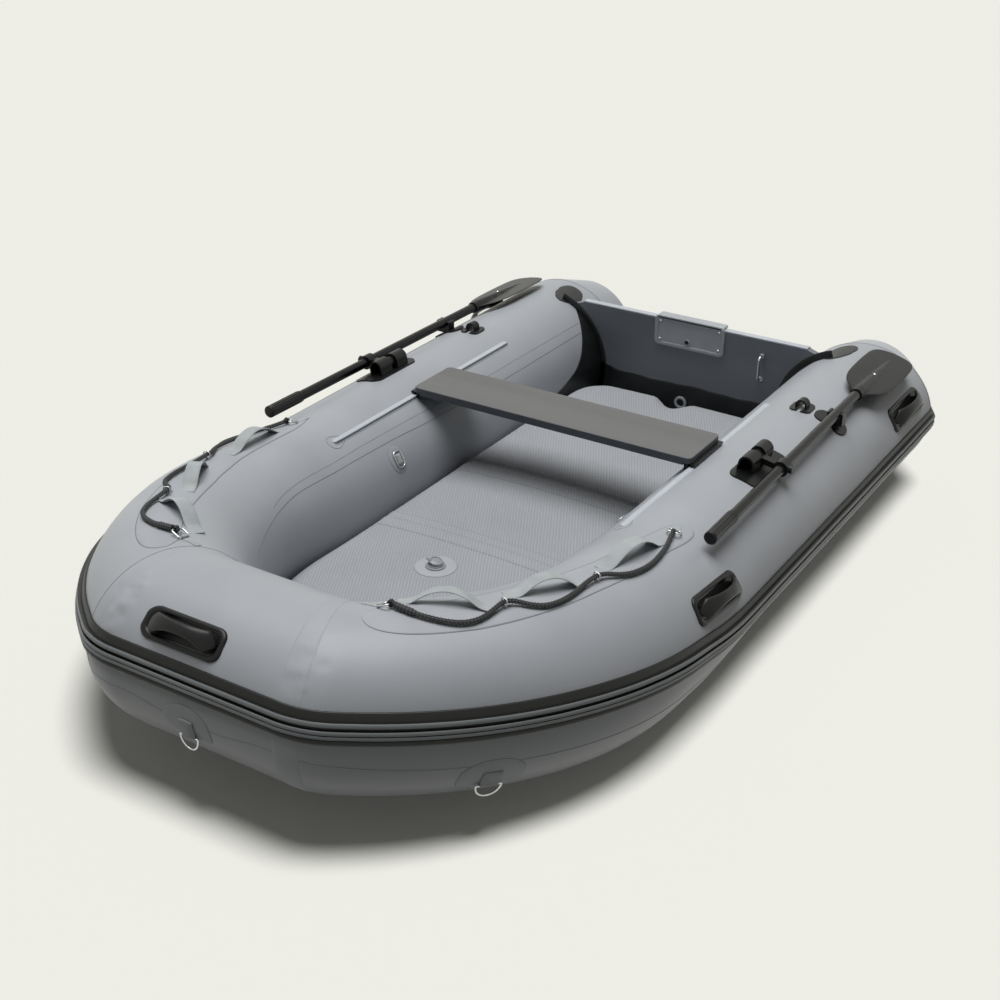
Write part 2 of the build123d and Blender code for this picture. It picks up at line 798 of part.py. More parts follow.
def along_oar(distance):
    """Plane across the port oar, distance aft of the oarlock, x inboard, normal pointing aft."""
    return Plane(
        origin=Vector(oar_x, lock_y, oar_z) + oar_aft * distance,
        x_dir=Vector(-cos(toe), -sin(toe), 0),
        z_dir=oar_aft,
    )


blade_start = oar_start + oar_length - blade_length
with BuildPart() as oar_shaft:
    with BuildSketch(along_oar(oar_start + 10)):
        Circle(oar_shaft_radius)
    extrude(amount=blade_start + 70 - oar_start - 10)
with BuildPart() as oar_grip:
    with BuildSketch(along_oar(oar_start)):
        Circle(oar_grip_radius)
    extrude(amount=oar_grip_length)
    fillet(oar_grip.edges(), 3)
    for groove in range(oar_grip_grooves):
        with BuildSketch(along_oar(oar_start + 30 + groove * oar_grip_groove_pitch)):
            Circle(oar_grip_radius + 1)
            Circle(oar_grip_radius - oar_grip_groove_depth, mode=Mode.SUBTRACT)
        extrude(amount=oar_grip_groove_pitch / 3, mode=Mode.SUBTRACT)
    with BuildSketch(along_oar(oar_start + 10 - fit_gap)):
        Circle(oar_shaft_radius + fit_gap / 3)
    extrude(amount=oar_grip_length, mode=Mode.SUBTRACT)
blade_plane = Plane(origin=along_oar(blade_start).origin, x_dir=oar_aft, z_dir=(0, 0, 1))
with BuildPart() as oar_blade:
    with BuildSketch(along_oar(blade_start)):
        Circle(blade_socket_radius)
    extrude(amount=30)
    with BuildSketch(along_oar(blade_start + 30)):
        Circle(blade_socket_radius - 1)
    with BuildSketch(along_oar(blade_start + 120)):
        Ellipse(15, 13)
    with BuildSketch(along_oar(blade_start + 285)):
        Ellipse(5, 3)
    loft(ruled=True)
    with BuildSketch(blade_plane) as outline:
        with BuildLine():
            root = blade_root_width / 2
            tip = blade_tip_width / 2
            inboard = [(24, 20), (52, root), (130, tip)]
            inboard += [(blade_length - 10, tip - 8), (blade_length, tip - 30)]
            outboard = [(place, -reach) for place, reach in reversed(inboard)]
            Polyline(*inboard, *outboard, close=True)
        make_face()
        fillet(outline.vertices().sort_by(Axis((0, 0, 0), oar_aft))[2:8], 18)
    extrude(amount=blade_thickness / 2, both=True)
    with BuildSketch(along_oar(blade_start - 1)):
        Circle(oar_shaft_radius + 0.1)
    extrude(amount=71 + fit_gap, mode=Mode.SUBTRACT)
for builder, name in ((oar_shaft, "oar_shaft"), (oar_grip, "oar_grip"), (oar_blade, "oar_blade")):
    keep(builder, name + "_port")
    keep(mirrored(builder.part), name + "_starboard")


def lock_plane(distance):
    """Plane across the tube at a distance aft of the oarlock, centred on its pin, x outboard."""
    return Plane(origin=(pin_x, lock_y + distance, pin_z), x_dir=(1, 0, 0), z_dir=(0, -1, 0))


def lock_section(radius, drop):
    """Half-round arch about the pin that runs down to the tube."""
    with BuildSketch() as face:
        Circle(radius)
        middle = (-drop / 2 * cos(pin_angle), -drop / 2 * sin(pin_angle))
        with Locations(Location(middle, oarlock_pin_angle)):
            Rectangle(drop, 2 * radius)
    return face.sketch


base_place = at_height(lock_y, oarlock_pin_angle - 4, glue_gap)
with BuildPart() as lock_base:
    with BuildSketch(base_place):
        RectangleRounded(oarlock_base_length, oarlock_base_width, 26)
    extrude(amount=pad_bed, both=True)
    add(side_pad_skin, mode=Mode.INTERSECT)
    for start, web in ((-oarlock_gap / 2 - oarlock_knuckle_length, 1), (oarlock_gap / 2, -1)):
        with BuildSketch(lock_plane(start)):
            add(lock_section(oarlock_knuckle_radius, oarlock_pin_height + 2))
        extrude(amount=-oarlock_knuckle_length)
        hollow_start = start if web > 0 else start + oarlock_web
        with BuildSketch(lock_plane(hollow_start)):
            hollow_radius = oarlock_knuckle_radius - oarlock_wall
            add(lock_section(hollow_radius, oarlock_pin_height - pad_thickness - 2))
        extrude(amount=-(oarlock_knuckle_length - oarlock_web), mode=Mode.SUBTRACT)
    with BuildSketch(lock_plane(-100)):
        Circle(oarlock_pin_radius + pin_clearance)
    extrude(amount=-200, mode=Mode.SUBTRACT)
    add(side_skin, mode=Mode.SUBTRACT)
keep(lock_base, "oarlock_base_port")
keep(mirrored(lock_base.part), "oarlock_base_starboard")

pin_reach = oarlock_gap / 2 + oarlock_web + 6
with BuildPart() as lock_pin:
    with BuildSketch(lock_plane(-pin_reach)):
        Circle(oarlock_pin_radius)
    extrude(amount=-2 * pin_reach)
keep(lock_pin, "oarlock_pin_port")
keep(mirrored(lock_pin.part), "oarlock_pin_starboard")

knuckle_half = oarlock_gap / 2 - oarlock_play
drop = radians(oar_rest_drop)
with BuildPart() as collar:
    with BuildSketch(lock_plane(-knuckle_half)) as arm:
        Circle(collar_knuckle_radius)
        with Locations((oarlock_arm * cos(drop), -oarlock_arm * sin(drop))):
            Circle(collar_knuckle_radius)
        arm_middle = (oarlock_arm / 2 * cos(drop), -oarlock_arm / 2 * sin(drop))
        with Locations(Location(arm_middle, -oar_rest_drop)):
            Rectangle(oarlock_arm, collar_arm_depth)
    extrude(amount=-2 * knuckle_half)
    with BuildSketch(along_oar(-collar_length / 2)):
        Circle(oar_shaft_radius + collar_wall)
    extrude(amount=collar_length)
    with BuildSketch(Plane(origin=(oar_x, lock_y, oar_z), x_dir=(0, 1, 0), z_dir=(1, 0, 0))):
        Circle(11)
    extrude(amount=oar_shaft_radius + collar_wall + 9)
    with BuildSketch(lock_plane(-knuckle_half)):
        Circle(oarlock_pin_radius + pin_clearance)
    extrude(amount=-2 * knuckle_half, mode=Mode.SUBTRACT)
    with BuildSketch(along_oar(-collar_length)):
        Circle(oar_shaft_radius + 0.1)
    extrude(amount=2 * collar_length, mode=Mode.SUBTRACT)
keep(collar, "oarlock_collar_port")
keep(mirrored(collar.part), "oarlock_collar_starboard")

# Stowage clip: two lobes on the tube, an upright each side of the shaft.
clip_y = stern_end - clip_setback
clip_centre = along_oar((clip_y - lock_y) / cos(toe)).origin
clip_angle = degrees(atan2(clip_centre.Z - tube_z, clip_centre.X - tube_x))
clip_place = at_height(clip_y, clip_angle, glue_gap)
with BuildPart() as clip:
    with BuildSketch(clip_place):
        with Locations((0, 27), (0, -27)):
            Ellipse(31, 24)
        Rectangle(40, 60)
    extrude(amount=pad_bed, both=True)
    add(side_pad_skin, mode=Mode.INTERSECT)
    with BuildSketch(across(clip_y - 15)):
        with Locations((clip_centre.X, clip_centre.Z - 12)):
            Rectangle(2 * oar_shaft_radius + 18, 36)
    extrude(amount=-30)
    with BuildSketch(across(clip_y - 40)):
        with Locations((clip_centre.X, clip_centre.Z)):
            Circle(oar_shaft_radius + 1.6)
        with Locations((clip_centre.X, clip_centre.Z + 20)):
            Rectangle(2 * oar_shaft_radius + 3.2, 40)
    extrude(amount=-80, mode=Mode.SUBTRACT)
    add(side_skin, mode=Mode.SUBTRACT)
keep(clip, "oar_clip_port")
keep(mirrored(clip.part), "oar_clip_starboard")

loop_y = stern_end - loop_pad_setback
loop_place = at_height(loop_y, loop_pad_angle, glue_gap)
with BuildPart() as loop_pad:
    with BuildSketch(loop_place):
        RectangleRounded(66, 62, 18)
    extrude(amount=pad_bed, both=True)
    add(side_pad_skin, mode=Mode.INTERSECT)
    loop_axis = loop_place.origin + loop_place.z_dir * 10
    loop_plane = Plane(origin=loop_axis, x_dir=(1, 0, 0), z_dir=(0, -1, 0))
    with BuildSketch(loop_plane.offset(13)):
        Circle(17)
        with Locations((0, -8)):
            Rectangle(34, 16)
    extrude(amount=-26)
    with BuildSketch(loop_plane.offset(40)):
        Circle(11)
        with Locations((0, -3)):
            Rectangle(22, 6)
    extrude(amount=-80, mode=Mode.SUBTRACT)
    add(side_skin, mode=Mode.SUBTRACT)
keep(loop_pad, "lashing_loop_port")
keep(mirrored(loop_pad.part), "lashing_loop_starboard")


# ---------------------------------------------------------------- rings, straps and lifelines
def bar_foot(surface, target):
    """Plane under a ring's near bar, on a tube's surface, with x leading to a target point."""
    pull = target - surface.origin
    level = pull - surface.z_dir * pull.dot(surface.z_dir)
    return Plane(origin=surface.origin, x_dir=level, z_dir=surface.z_dir)


def ring_bar(foot, wire, tilt):
    """Plane of a ring whose near bar lies in its strap and whose far bar is lifted by tilt."""
    lift = radians(tilt)
    height = glue_gap + strap_thickness + fit_gap + wire / 2
    return Plane(
        origin=foot.from_local_coords(Vector(0, 0, height)),
        x_dir=foot.x_dir * cos(lift) + foot.z_dir * sin(lift),
        z_dir=foot.z_dir * cos(lift) - foot.x_dir * sin(lift),
    )


def wire_ring(bar, ring_length, ring_width, wire, corner):
    """Rectangular welded ring with rounded corners."""
    with BuildPart() as ring:
        with BuildSketch(bar, mode=Mode.PRIVATE) as outline:
            with Locations((ring_length / 2, 0)):
                RectangleRounded(ring_length, ring_width, corner)
        path = outline.sketch.face().outer_wire()
        with BuildSketch(Plane(origin=path @ 0, z_dir=path % 0)):
            Circle(wire / 2)
        sweep(path=path)
    return ring.part


def ring_strap(foot, width, run, wire, skin, outer_skin):
    """Webbing glued to the tube, with an eye round a ring's near bar."""
    bore = wire / 2 + fit_gap
    height = glue_gap + strap_thickness + bore
    eye = Plane(
        origin=foot.from_local_coords(Vector(0, width / 2, height)),
        x_dir=foot.x_dir,
        z_dir=-foot.y_dir,
    )
    with BuildPart() as strap:
        with BuildSketch(foot):
            with Locations((-run / 2, 0)):
                Rectangle(run, width)
        extrude(amount=pad_bed, both=True)
        add(outer_skin, mode=Mode.INTERSECT)
        with BuildSketch(eye):
            Circle(bore + strap_thickness)
        extrude(amount=width)
        with BuildSketch(eye):
            Circle(bore)
        extrude(amount=width, mode=Mode.SUBTRACT)
        add(skin, mode=Mode.SUBTRACT)
    return strap.part


def rope_eye(bar, ring_length, wire):
    """The turn a lifeline's end takes round a ring's far bar."""
    axis = Plane(
        origin=bar.from_local_coords(Vector(ring_length, rope_diameter / 2, 0)),
        x_dir=bar.x_dir,
        z_dir=-bar.y_dir,
    )
    with BuildPart() as eye:
        with BuildSketch(axis):
            Circle(wire / 2 + fit_gap + rope_eye_wall)
            Circle(wire / 2 + fit_gap, mode=Mode.SUBTRACT)
        extrude(amount=rope_diameter)
    return eye.part


def grab_loop(start, end):
    """Webbing arched from one place on the port tube to another, with a glued foot at each."""
    first = on_tube(*start)
    last = on_tube(*end)
    chord = last.origin - first.origin
    side = chord.cross(first.z_dir + last.z_dir).normalized()
    half = chord.length / 2
    face = Plane(
        origin=(first.origin + last.origin) / 2 - side * grab_loop_width / 2,
        x_dir=chord,
        z_dir=side,
    )
    foot_middle = (grab_loop_foot - grab_loop_dip) / 2
    with BuildPart() as loop:
        for place, outwards in ((first, -chord), (last, chord)):
            with BuildSketch(Plane(origin=place.origin, x_dir=outwards, z_dir=place.z_dir)):
                with Locations((foot_middle, 0)):
                    Rectangle(grab_loop_foot + grab_loop_dip, grab_loop_width)
            extrude(amount=pad_bed, both=True)
        add(side_strap_skin, mode=Mode.INTERSECT)
        with BuildSketch(face):
            with BuildLine():
                outer = ThreePointArc(
                    (-half - grab_loop_thickness, -grab_loop_dip),
                    (0, grab_loop_rise + grab_loop_thickness),
                    (half + grab_loop_thickness, -grab_loop_dip),
                )
                inner = ThreePointArc(
                    (-half, -grab_loop_dip),
                    (0, grab_loop_rise),
                    (half, -grab_loop_dip),
                )
                Line(outer @ 0, inner @ 0)
                Line(outer @ 1, inner @ 1)
            make_face()
        extrude(amount=grab_loop_width)
        add(side_skin, mode=Mode.SUBTRACT)
    return loop.part


side_strap_skin = side_tube(glue_gap + strap_thickness).part
front_strap_skin = front_tube(glue_gap + strap_thickness).part

# A lifeline's route between its two rings: place along the tube, angle round it and height above it.
lifeline_places = [
    (147.5, 81.0, 10.0),
    (175.0, 76.3, 8.9),
    (207.0, 71.9, 8.9),
    (239.0, 69.8, 8.9),
    (272.0, 71.4, 8.9),
    (303.0, 76.1, 10.5),
    (335.0, 81.1, 15.2),
    (362.0, 80.5, 11.0),
    (384.5, 75.8, 8.9),
    (415.0, 71.9, 9.2),
    (454.5, 72.6, 9.1),
    (495.5, 75.4, 9.2),
    (538.5, 79.3, 11.3),
    (579.5, 81.0, 15.2),
    (610.0, 79.8, 12.0),
    (633.5, 76.2, 9.4),
    (663.5, 73.1, 9.0),
    (704.0, 71.6, 9.0),
    (748.5, 71.5, 9.0),
    (798.5, 73.1, 8.8),
    (848.5, 75.5, 9.0),
    (888.0, 78.2, 10.4),
]
guide_points = (7, 14)


def rope_end(bar, neighbour):
    """Where a lifeline leaves the eye on a ring's far bar for its neighbouring point."""
    far_bar = bar.from_local_coords(Vector(lifeline_ring_length, 0, 0))
    reach = lifeline_ring_wire / 2 + fit_gap + rope_eye_wall + 2 * fit_gap
    return far_bar + (neighbour - far_bar).normalized() * reach


lifeline_route = [on_tube(*place).origin for place in lifeline_places]
fore_foot = bar_foot(on_tube(87, 96.7), lifeline_route[0])
aft_foot = bar_foot(on_tube(957, 81.2), lifeline_route[-1])
fore_bar = ring_bar(fore_foot, lifeline_ring_wire, lifeline_ring_tilt)
aft_bar = ring_bar(aft_foot, lifeline_ring_wire, lifeline_ring_tilt)
lifeline_route.insert(0, rope_end(fore_bar, lifeline_route[0]))
lifeline_route.append(rope_end(aft_bar, lifeline_route[-1]))
lifeline_bends = []
for before, at, after in zip(lifeline_route, lifeline_route[1:], lifeline_route[2:]):
    half_bend = radians((at - before).get_angle(after - at)) / 2
    lifeline_bends.append(0.45 * min((at - before).length, (after - at).length) / tan(half_bend))
print("lifeline bend radii", [round(bend) for bend in lifeline_bends])
with BuildPart() as lifeline:
    with BuildLine() as lifeline_path:
        FilletPolyline(*lifeline_route, radius=lifeline_bends)
    with BuildSketch(Plane(origin=lifeline_path.line @ 0, z_dir=lifeline_path.line % 0)):
        Circle(rope_diameter / 2)
    sweep()
keep(lifeline, "lifeline_port")
keep(mirrored(lifeline.part), "lifeline_starboard")
print("lifeline length", round(lifeline_path.wire().length), "volume", round(lifeline.part.volume))
print("lifeline points", [tuple(round(v, 1) for v in point) for point in lifeline_route])


def both_sides(pieces):
    """Port pieces and their starboard twins in one node."""
    with BuildPart() as pairs:
        for piece in pieces:
            add(piece)
            mirror(piece, about=Plane.YZ)
    return pairs


fore_eye = rope_eye(fore_bar, lifeline_ring_length, lifeline_ring_wire)
aft_eye = rope_eye(aft_bar, lifeline_ring_length, lifeline_ring_wire)
with BuildPart() as lifeline_eyes:
    add(fore_eye)
    add(aft_eye)
keep(lifeline_eyes, "lifeline_eyes_port")
keep(mirrored(lifeline_eyes.part), "lifeline_eyes_starboard")
ring_size = (lifeline_ring_length, lifeline_ring_width, lifeline_ring_wire, lifeline_ring_corner)
lifeline_rings = both_sides([wire_ring(fore_bar, *ring_size), wire_ring(aft_bar, *ring_size)])
keep(lifeline_rings, "lifeline_rings")
strap_size = (lifeline_strap_width, ring_strap_length, lifeline_ring_wire, side_skin, side_strap_skin)
lifeline_straps = both_sides([ring_strap(fore_foot, *strap_size), ring_strap(aft_foot, *strap_size)])
keep(lifeline_straps, "lifeline_ring_straps")

guide_rings = []
guide_straps = []
for number in guide_points:
    before, at, after = lifeline_route[number - 1:number + 2]
    heading_in = (at - before).normalized()
    heading_out = (after - at).normalized()
    half_bend = radians(heading_in.get_angle(heading_out)) / 2
    inwards = (heading_out - heading_in).normalized()
    middle = at + inwards * lifeline_bends[number - 1] * (1 / cos(half_bend) - 1)
    surface = on_tube(*lifeline_places[number - 1][:2])
    height = (middle - surface.origin).dot(surface.z_dir)
    foot = Plane(
        origin=middle - surface.z_dir * height,
        x_dir=-(heading_in + heading_out),
        z_dir=surface.z_dir,
    )
    upright = ring_bar(foot, guide_ring_wire, 90)
    guide_rings.append(
        wire_ring(upright, guide_ring_height, guide_ring_width, guide_ring_wire, guide_ring_corner)
    )
    guide_strap_size = (guide_strap_width, guide_strap_length, guide_ring_wire)
    guide_straps.append(ring_strap(foot, *guide_strap_size, side_skin, side_strap_skin))
    print("guide ring's middle above the tube", round(height, 1))
keep(both_sides(guide_rings), "lifeline_guide_rings")
keep(both_sides(guide_straps), "lifeline_guide_straps")

loop_places = [((158, 103), (292, 84)), ((392, 91), (528, 84)), ((662, 88), (838, 83))]
with BuildPart() as grab_loops:
    for start, end in loop_places:
        add(grab_loop(start, end))
keep(grab_loops, "grab_loops_port")
keep(mirrored(grab_loops.part), "grab_loops_starboard")


# ---------------------------------------------------------------- towing and tie-down rings
tow_surface = on_tube(tow_ring_place, tow_ring_angle)
tow_foot = bar_foot(tow_surface, tow_surface.origin - tow_surface.y_dir)
tow_bar = ring_bar(tow_foot, tow_ring_wire, -tow_ring_angle)
tow_size = (tow_ring_length, tow_ring_width, tow_ring_wire, tow_ring_corner)
bow_hang = radians(tow_ring_angle) + kick_tilt
bow_foot_away = Vector(0, -cos(bow_hang), sin(bow_hang))
bow_foot = Plane(
    origin=bow_fitting_axis + bow_foot_away * bow_radius,
    x_dir=(0, -sin(bow_hang), -cos(bow_hang)),
    z_dir=bow_foot_away,
)
bow_bar = ring_bar(bow_foot, tow_ring_wire, -degrees(bow_hang))
with BuildPart() as tow_rings:
    add(both_sides([wire_ring(tow_bar, *tow_size)]).part)
    add(wire_ring(bow_bar, *tow_size))
keep(tow_rings, "tow_rings")
tow_strap_size = (tow_strap_width, ring_strap_length, tow_ring_wire)
with BuildPart() as tow_straps:
    add(both_sides([ring_strap(tow_foot, *tow_strap_size, side_skin, side_strap_skin)]).part)
    add(ring_strap(bow_foot, *tow_strap_size, front_skin, front_strap_skin))
keep(tow_straps, "tow_ring_straps")

tie_surface = at_height(stern_end - tie_ring_setback, tie_ring_angle)
tie_foot = bar_foot(tie_surface, tie_surface.origin + tie_surface.y_dir)
tie_bar = ring_bar(tie_foot, tie_ring_wire, tie_ring_tilt)
tie_ring = wire_ring(tie_bar, tie_ring_length, tie_ring_width, tie_ring_wire, lifeline_ring_corner)
keep(both_sides([tie_ring]), "tie_down_rings")
tie_strap_size = (tie_strap_width, ring_strap_length, tie_ring_wire)
tie_strap = ring_strap(tie_foot, *tie_strap_size, side_skin, side_strap_skin)
keep(both_sides([tie_strap]), "tie_down_straps")


# ---------------------------------------------------------------- air floor's valve
with BuildPart() as deck_valve:
    with BuildSketch(Plane.XZ):
        with BuildLine():
            Polyline(
                (0, 0),
                (valve_flange_radius, 0),
                (valve_flange_radius, 1.5),
                (valve_flange_radius - 3, 3),
                (valve_cap_radius + 2, 3),
                (valve_cap_radius + 2, 6),
                (valve_cap_radius, 6.5),
                (valve_cap_radius, valve_height - 3),
                (valve_cap_radius - 3, valve_height),
                (valve_cap_radius - 7, valve_height),
                (valve_cap_radius - 8, valve_height - 3),
                (0, valve_height - 3),
                close=True,
            )
        make_face()
    revolve(axis=Axis.Z)
    with BuildSketch(Plane.XY.offset(3)):
        SlotOverall(2 * valve_cap_radius - 15, 8, rotation=35)
    extrude(amount=valve_height - 5)
with BuildPart() as deck_valve_placed:
    with Locations((deck_valve_offset, stern_end - deck_valve_setback, deck_crown_top + glue_gap)):
        add(deck_valve.part)
keep(deck_valve_placed, "deck_valve")
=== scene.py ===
import bpy
import numpy as np
from mathutils import Matrix, Vector


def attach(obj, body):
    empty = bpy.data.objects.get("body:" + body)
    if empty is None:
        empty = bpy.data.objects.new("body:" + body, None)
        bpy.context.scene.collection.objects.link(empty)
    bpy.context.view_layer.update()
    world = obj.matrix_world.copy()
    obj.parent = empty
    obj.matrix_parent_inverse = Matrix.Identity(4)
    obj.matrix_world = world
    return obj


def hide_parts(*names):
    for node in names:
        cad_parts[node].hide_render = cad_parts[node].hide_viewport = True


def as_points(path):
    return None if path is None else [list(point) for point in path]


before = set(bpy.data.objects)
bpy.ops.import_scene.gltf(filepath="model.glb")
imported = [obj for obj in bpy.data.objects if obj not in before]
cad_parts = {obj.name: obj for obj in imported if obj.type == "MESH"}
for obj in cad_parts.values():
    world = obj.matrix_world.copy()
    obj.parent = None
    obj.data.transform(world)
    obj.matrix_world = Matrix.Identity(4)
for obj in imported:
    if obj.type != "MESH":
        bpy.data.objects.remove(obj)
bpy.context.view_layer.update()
print("frame loaded with", len(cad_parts), "nodes")


# ---- small tools
def linearColour(hexText):
    # sRGB to linear: under 0.04045 divide by 12.92, above it ((v + 0.055) / 1.055) to the power 2.4
    value = np.array([int(hexText[k:k + 2], 16) for k in (1, 3, 5)]) / 255
    linear = np.where(value <= 0.04045, value / 12.92, ((value + 0.055) / 1.055) ** 2.4)
    return (*linear.tolist(), 1.0)


def addNode(tree, kind, settings=None, links=None):
    # one shader node: a setting is an input's value or a property, a link brings in another node's socket
    node = tree.nodes.new(kind)
    for key, value in (settings or {}).items():
        if isinstance(key, int) or key in node.inputs:
            node.inputs[key].default_value = value
        else:
            setattr(node, key, value)
    for key, socket in (links or {}).items():
        tree.links.new(socket, node.inputs[key])
    return node


def gridFaces(rows, cols, wrapRows=False, wrapCols=False):
    # quads between neighbours of a grid whose points are numbered row by row
    row = np.arange(rows if wrapRows else rows - 1)
    col = np.arange(cols if wrapCols else cols - 1)
    row, col = np.meshgrid(row, col, indexing="ij")
    nextRow, nextCol = (row + 1) % rows, (col + 1) % cols
    quads = [row * cols + col, row * cols + nextCol, nextRow * cols + nextCol, nextRow * cols + col]
    return np.stack(quads, -1).reshape(-1, 4)


def signedVolume(points, faces):
    # six times the volume: for each triangle of a fan, its first corner dotted with the cross of the others
    total = 0.0
    for face in faces:
        corners = points[face]
        fan = np.cross(corners[..., 1:-1, :], corners[..., 2:, :])
        total += float((corners[..., :1, :] * fan).sum())
    return total


def makePiece(name, points, faces, materials, body="hull", replaces=(), uv=None, uvPeriod=None,
              faceMaterial=None, sharp=40):
    # a mesh from whole arrays; faces is a list of arrays of corners, turned outwards by the volume's sign
    points = np.asarray(points, float).reshape(-1, 3)
    faces = [np.asarray(face) for face in faces]
    flip = signedVolume(points, faces) < 0
    if flip:
        faces = [face[..., ::-1] for face in faces]
    corners = np.concatenate([face.reshape(-1) for face in faces])
    sizes = np.concatenate([np.full(1 if face.ndim == 1 else len(face), face.shape[-1]) for face in faces])
    mesh = bpy.data.meshes.new(name)
    mesh.vertices.add(len(points))
    mesh.vertices.foreach_set("co", points.ravel().astype(np.float32))
    mesh.loops.add(len(corners))
    mesh.loops.foreach_set("vertex_index", corners.astype(np.int32))
    mesh.polygons.add(len(sizes))
    mesh.polygons.foreach_set("loop_start", np.concatenate([[0], np.cumsum(sizes)[:-1]]).astype(np.int32))
    mesh.polygons.foreach_set("use_smooth", np.ones(len(sizes), bool))
    for material in materials:
        mesh.materials.append(material)
    if faceMaterial is not None:
        mesh.polygons.foreach_set("material_index", np.asarray(faceMaterial, np.int32))
    mesh.update(calc_edges=True)
    mesh.validate()
    if uv is not None:
        places = np.asarray(uv, float).reshape(-1, 2)[corners]
        if uvPeriod:
            starts = np.repeat(np.concatenate([[0], np.cumsum(sizes)[:-1]]), sizes)
            behind = places[starts, 1] - places[:, 1]
            places[:, 1] += np.round(behind / uvPeriod) * uvPeriod
        layer = mesh.uv_layers.new(name="cloth")
        layer.data.foreach_set("uv", places.ravel().astype(np.float32))
    mesh.set_sharp_from_angle(angle=np.radians(sharp))
    piece = bpy.data.objects.new(name, mesh)
    bpy.context.scene.collection.objects.link(piece)
    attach(piece, body)
    if replaces:
        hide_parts(*replaces)
    return piece


def slab(top, bottom):
    # a thin closed sheet: the top grid, the bottom grid turned over, and a wall round their edge
    rows, cols = top.shape[:2]
    count = rows * cols
    topFaces = gridFaces(rows, cols)
    index = np.arange(count).reshape(rows, cols)
    rim = np.concatenate([index[0], index[1:, -1], index[-1, -2::-1], index[-2:0:-1, 0]])
    after = np.roll(rim, -1)
    wall = np.stack([rim, rim + count, after + count, after], -1)
    return np.concatenate([top.reshape(-1, 3), bottom.reshape(-1, 3)]), [topFaces, topFaces[:, ::-1] + count, wall]


def sweepFaces(stations, ringSize):
    # faces of a closed profile carried along a path, with a flat cap at each end
    ring = np.arange(ringSize)
    return [gridFaces(stations, ringSize, wrapCols=True), ring[::-1], ring + (stations - 1) * ringSize]


# ---- the camera
camera = {"focalPixels": 1536.66, "azimuth": 32.04, "elevation": 27.29, "roll": 0.39,
          "place": (1.9208, -3.1908, 2.1715)}


def makeCamera():
    # looks along (-sin a cos e, cos a cos e, -sin e), turned about that line by the roll
    a, e, roll = np.radians([camera["azimuth"], camera["elevation"], camera["roll"]])
    look = Vector((-np.sin(a) * np.cos(e), np.cos(a) * np.cos(e), -np.sin(e)))
    level = Vector((np.cos(a), np.sin(a), 0))
    up = level.cross(look)
    right = level * np.cos(roll) + up * np.sin(roll)
    above = up * np.cos(roll) - level * np.sin(roll)
    lens = bpy.data.cameras.new("camera")
    lens.sensor_width = 36
    lens.lens = camera["focalPixels"] * 36 / 1000
    lens.clip_end = 100
    eye = bpy.data.objects.new("camera", lens)
    turn = Matrix((right, above, -look)).transposed().to_4x4()
    eye.matrix_world = Matrix.Translation(camera["place"]) @ turn
    bpy.context.scene.collection.objects.link(eye)
    bpy.context.scene.camera = eye


makeCamera()
bpy.context.scene.view_settings.view_transform = "Standard"

# ---- the hull's line, in metres, as in the CAD
hull = {"length": 2.650, "tubeSpacing": 1.082, "tubeRadius": 0.220, "bowRadius": 0.200, "bowFront": 0.437,
        "cornerTurn": np.radians(36.6), "cornerRun": 0.015, "kickLength": 0.826, "bowRise": 0.110,
        "kickRadius": 1.200, "strakeReach": 0.2144, "strakeLean": np.radians(2.6), "coneLength": 0.165,
        "coneRun": 0.157, "coneEndRadius": 0.150, "coneEndRise": 0.025, "coneEndInset": 0.030,
        "skewFade": 0.20, "cornerSoftness": 0.050, "cornerReach": 0.10,
        "tuck": 0.024, "tuckAngle": -34.0, "tuckSpread": 34.0, "tuckStart": 0.40, "tuckEnd": 1.25}
tubeX = hull["tubeSpacing"] / 2
cornerX = hull["bowFront"] / 2
kickTilt = np.arctan2(hull["bowRise"], hull["kickLength"])
bowY = -hull["length"] / 2 + hull["strakeReach"] * np.cos(kickTilt + hull["strakeLean"])
bowZ = hull["tubeRadius"] + hull["bowRise"]
cornerTurn = hull["cornerTurn"]
arcRadius = (tubeX - cornerX - hull["cornerRun"] * np.cos(cornerTurn)) / (1 - np.sin(cornerTurn))
arcEnd = hull["cornerRun"] + arcRadius * (np.pi / 2 - cornerTurn)
arcReach = hull["cornerRun"] * np.sin(cornerTurn) + arcRadius * np.cos(cornerTurn)
kickTangent = hull["kickRadius"] * np.tan(kickTilt / 2)
kickPlace = arcEnd + hull["kickLength"] / np.cos(kickTilt) - kickTangent - arcReach
levelPlace = kickPlace + hull["kickRadius"] * kickTilt
levelY = bowY + hull["kickLength"] + kickTangent
conePlace = levelPlace + hull["length"] / 2 - hull["coneLength"] - levelY
tubeEnd = conePlace + hull["coneRun"]


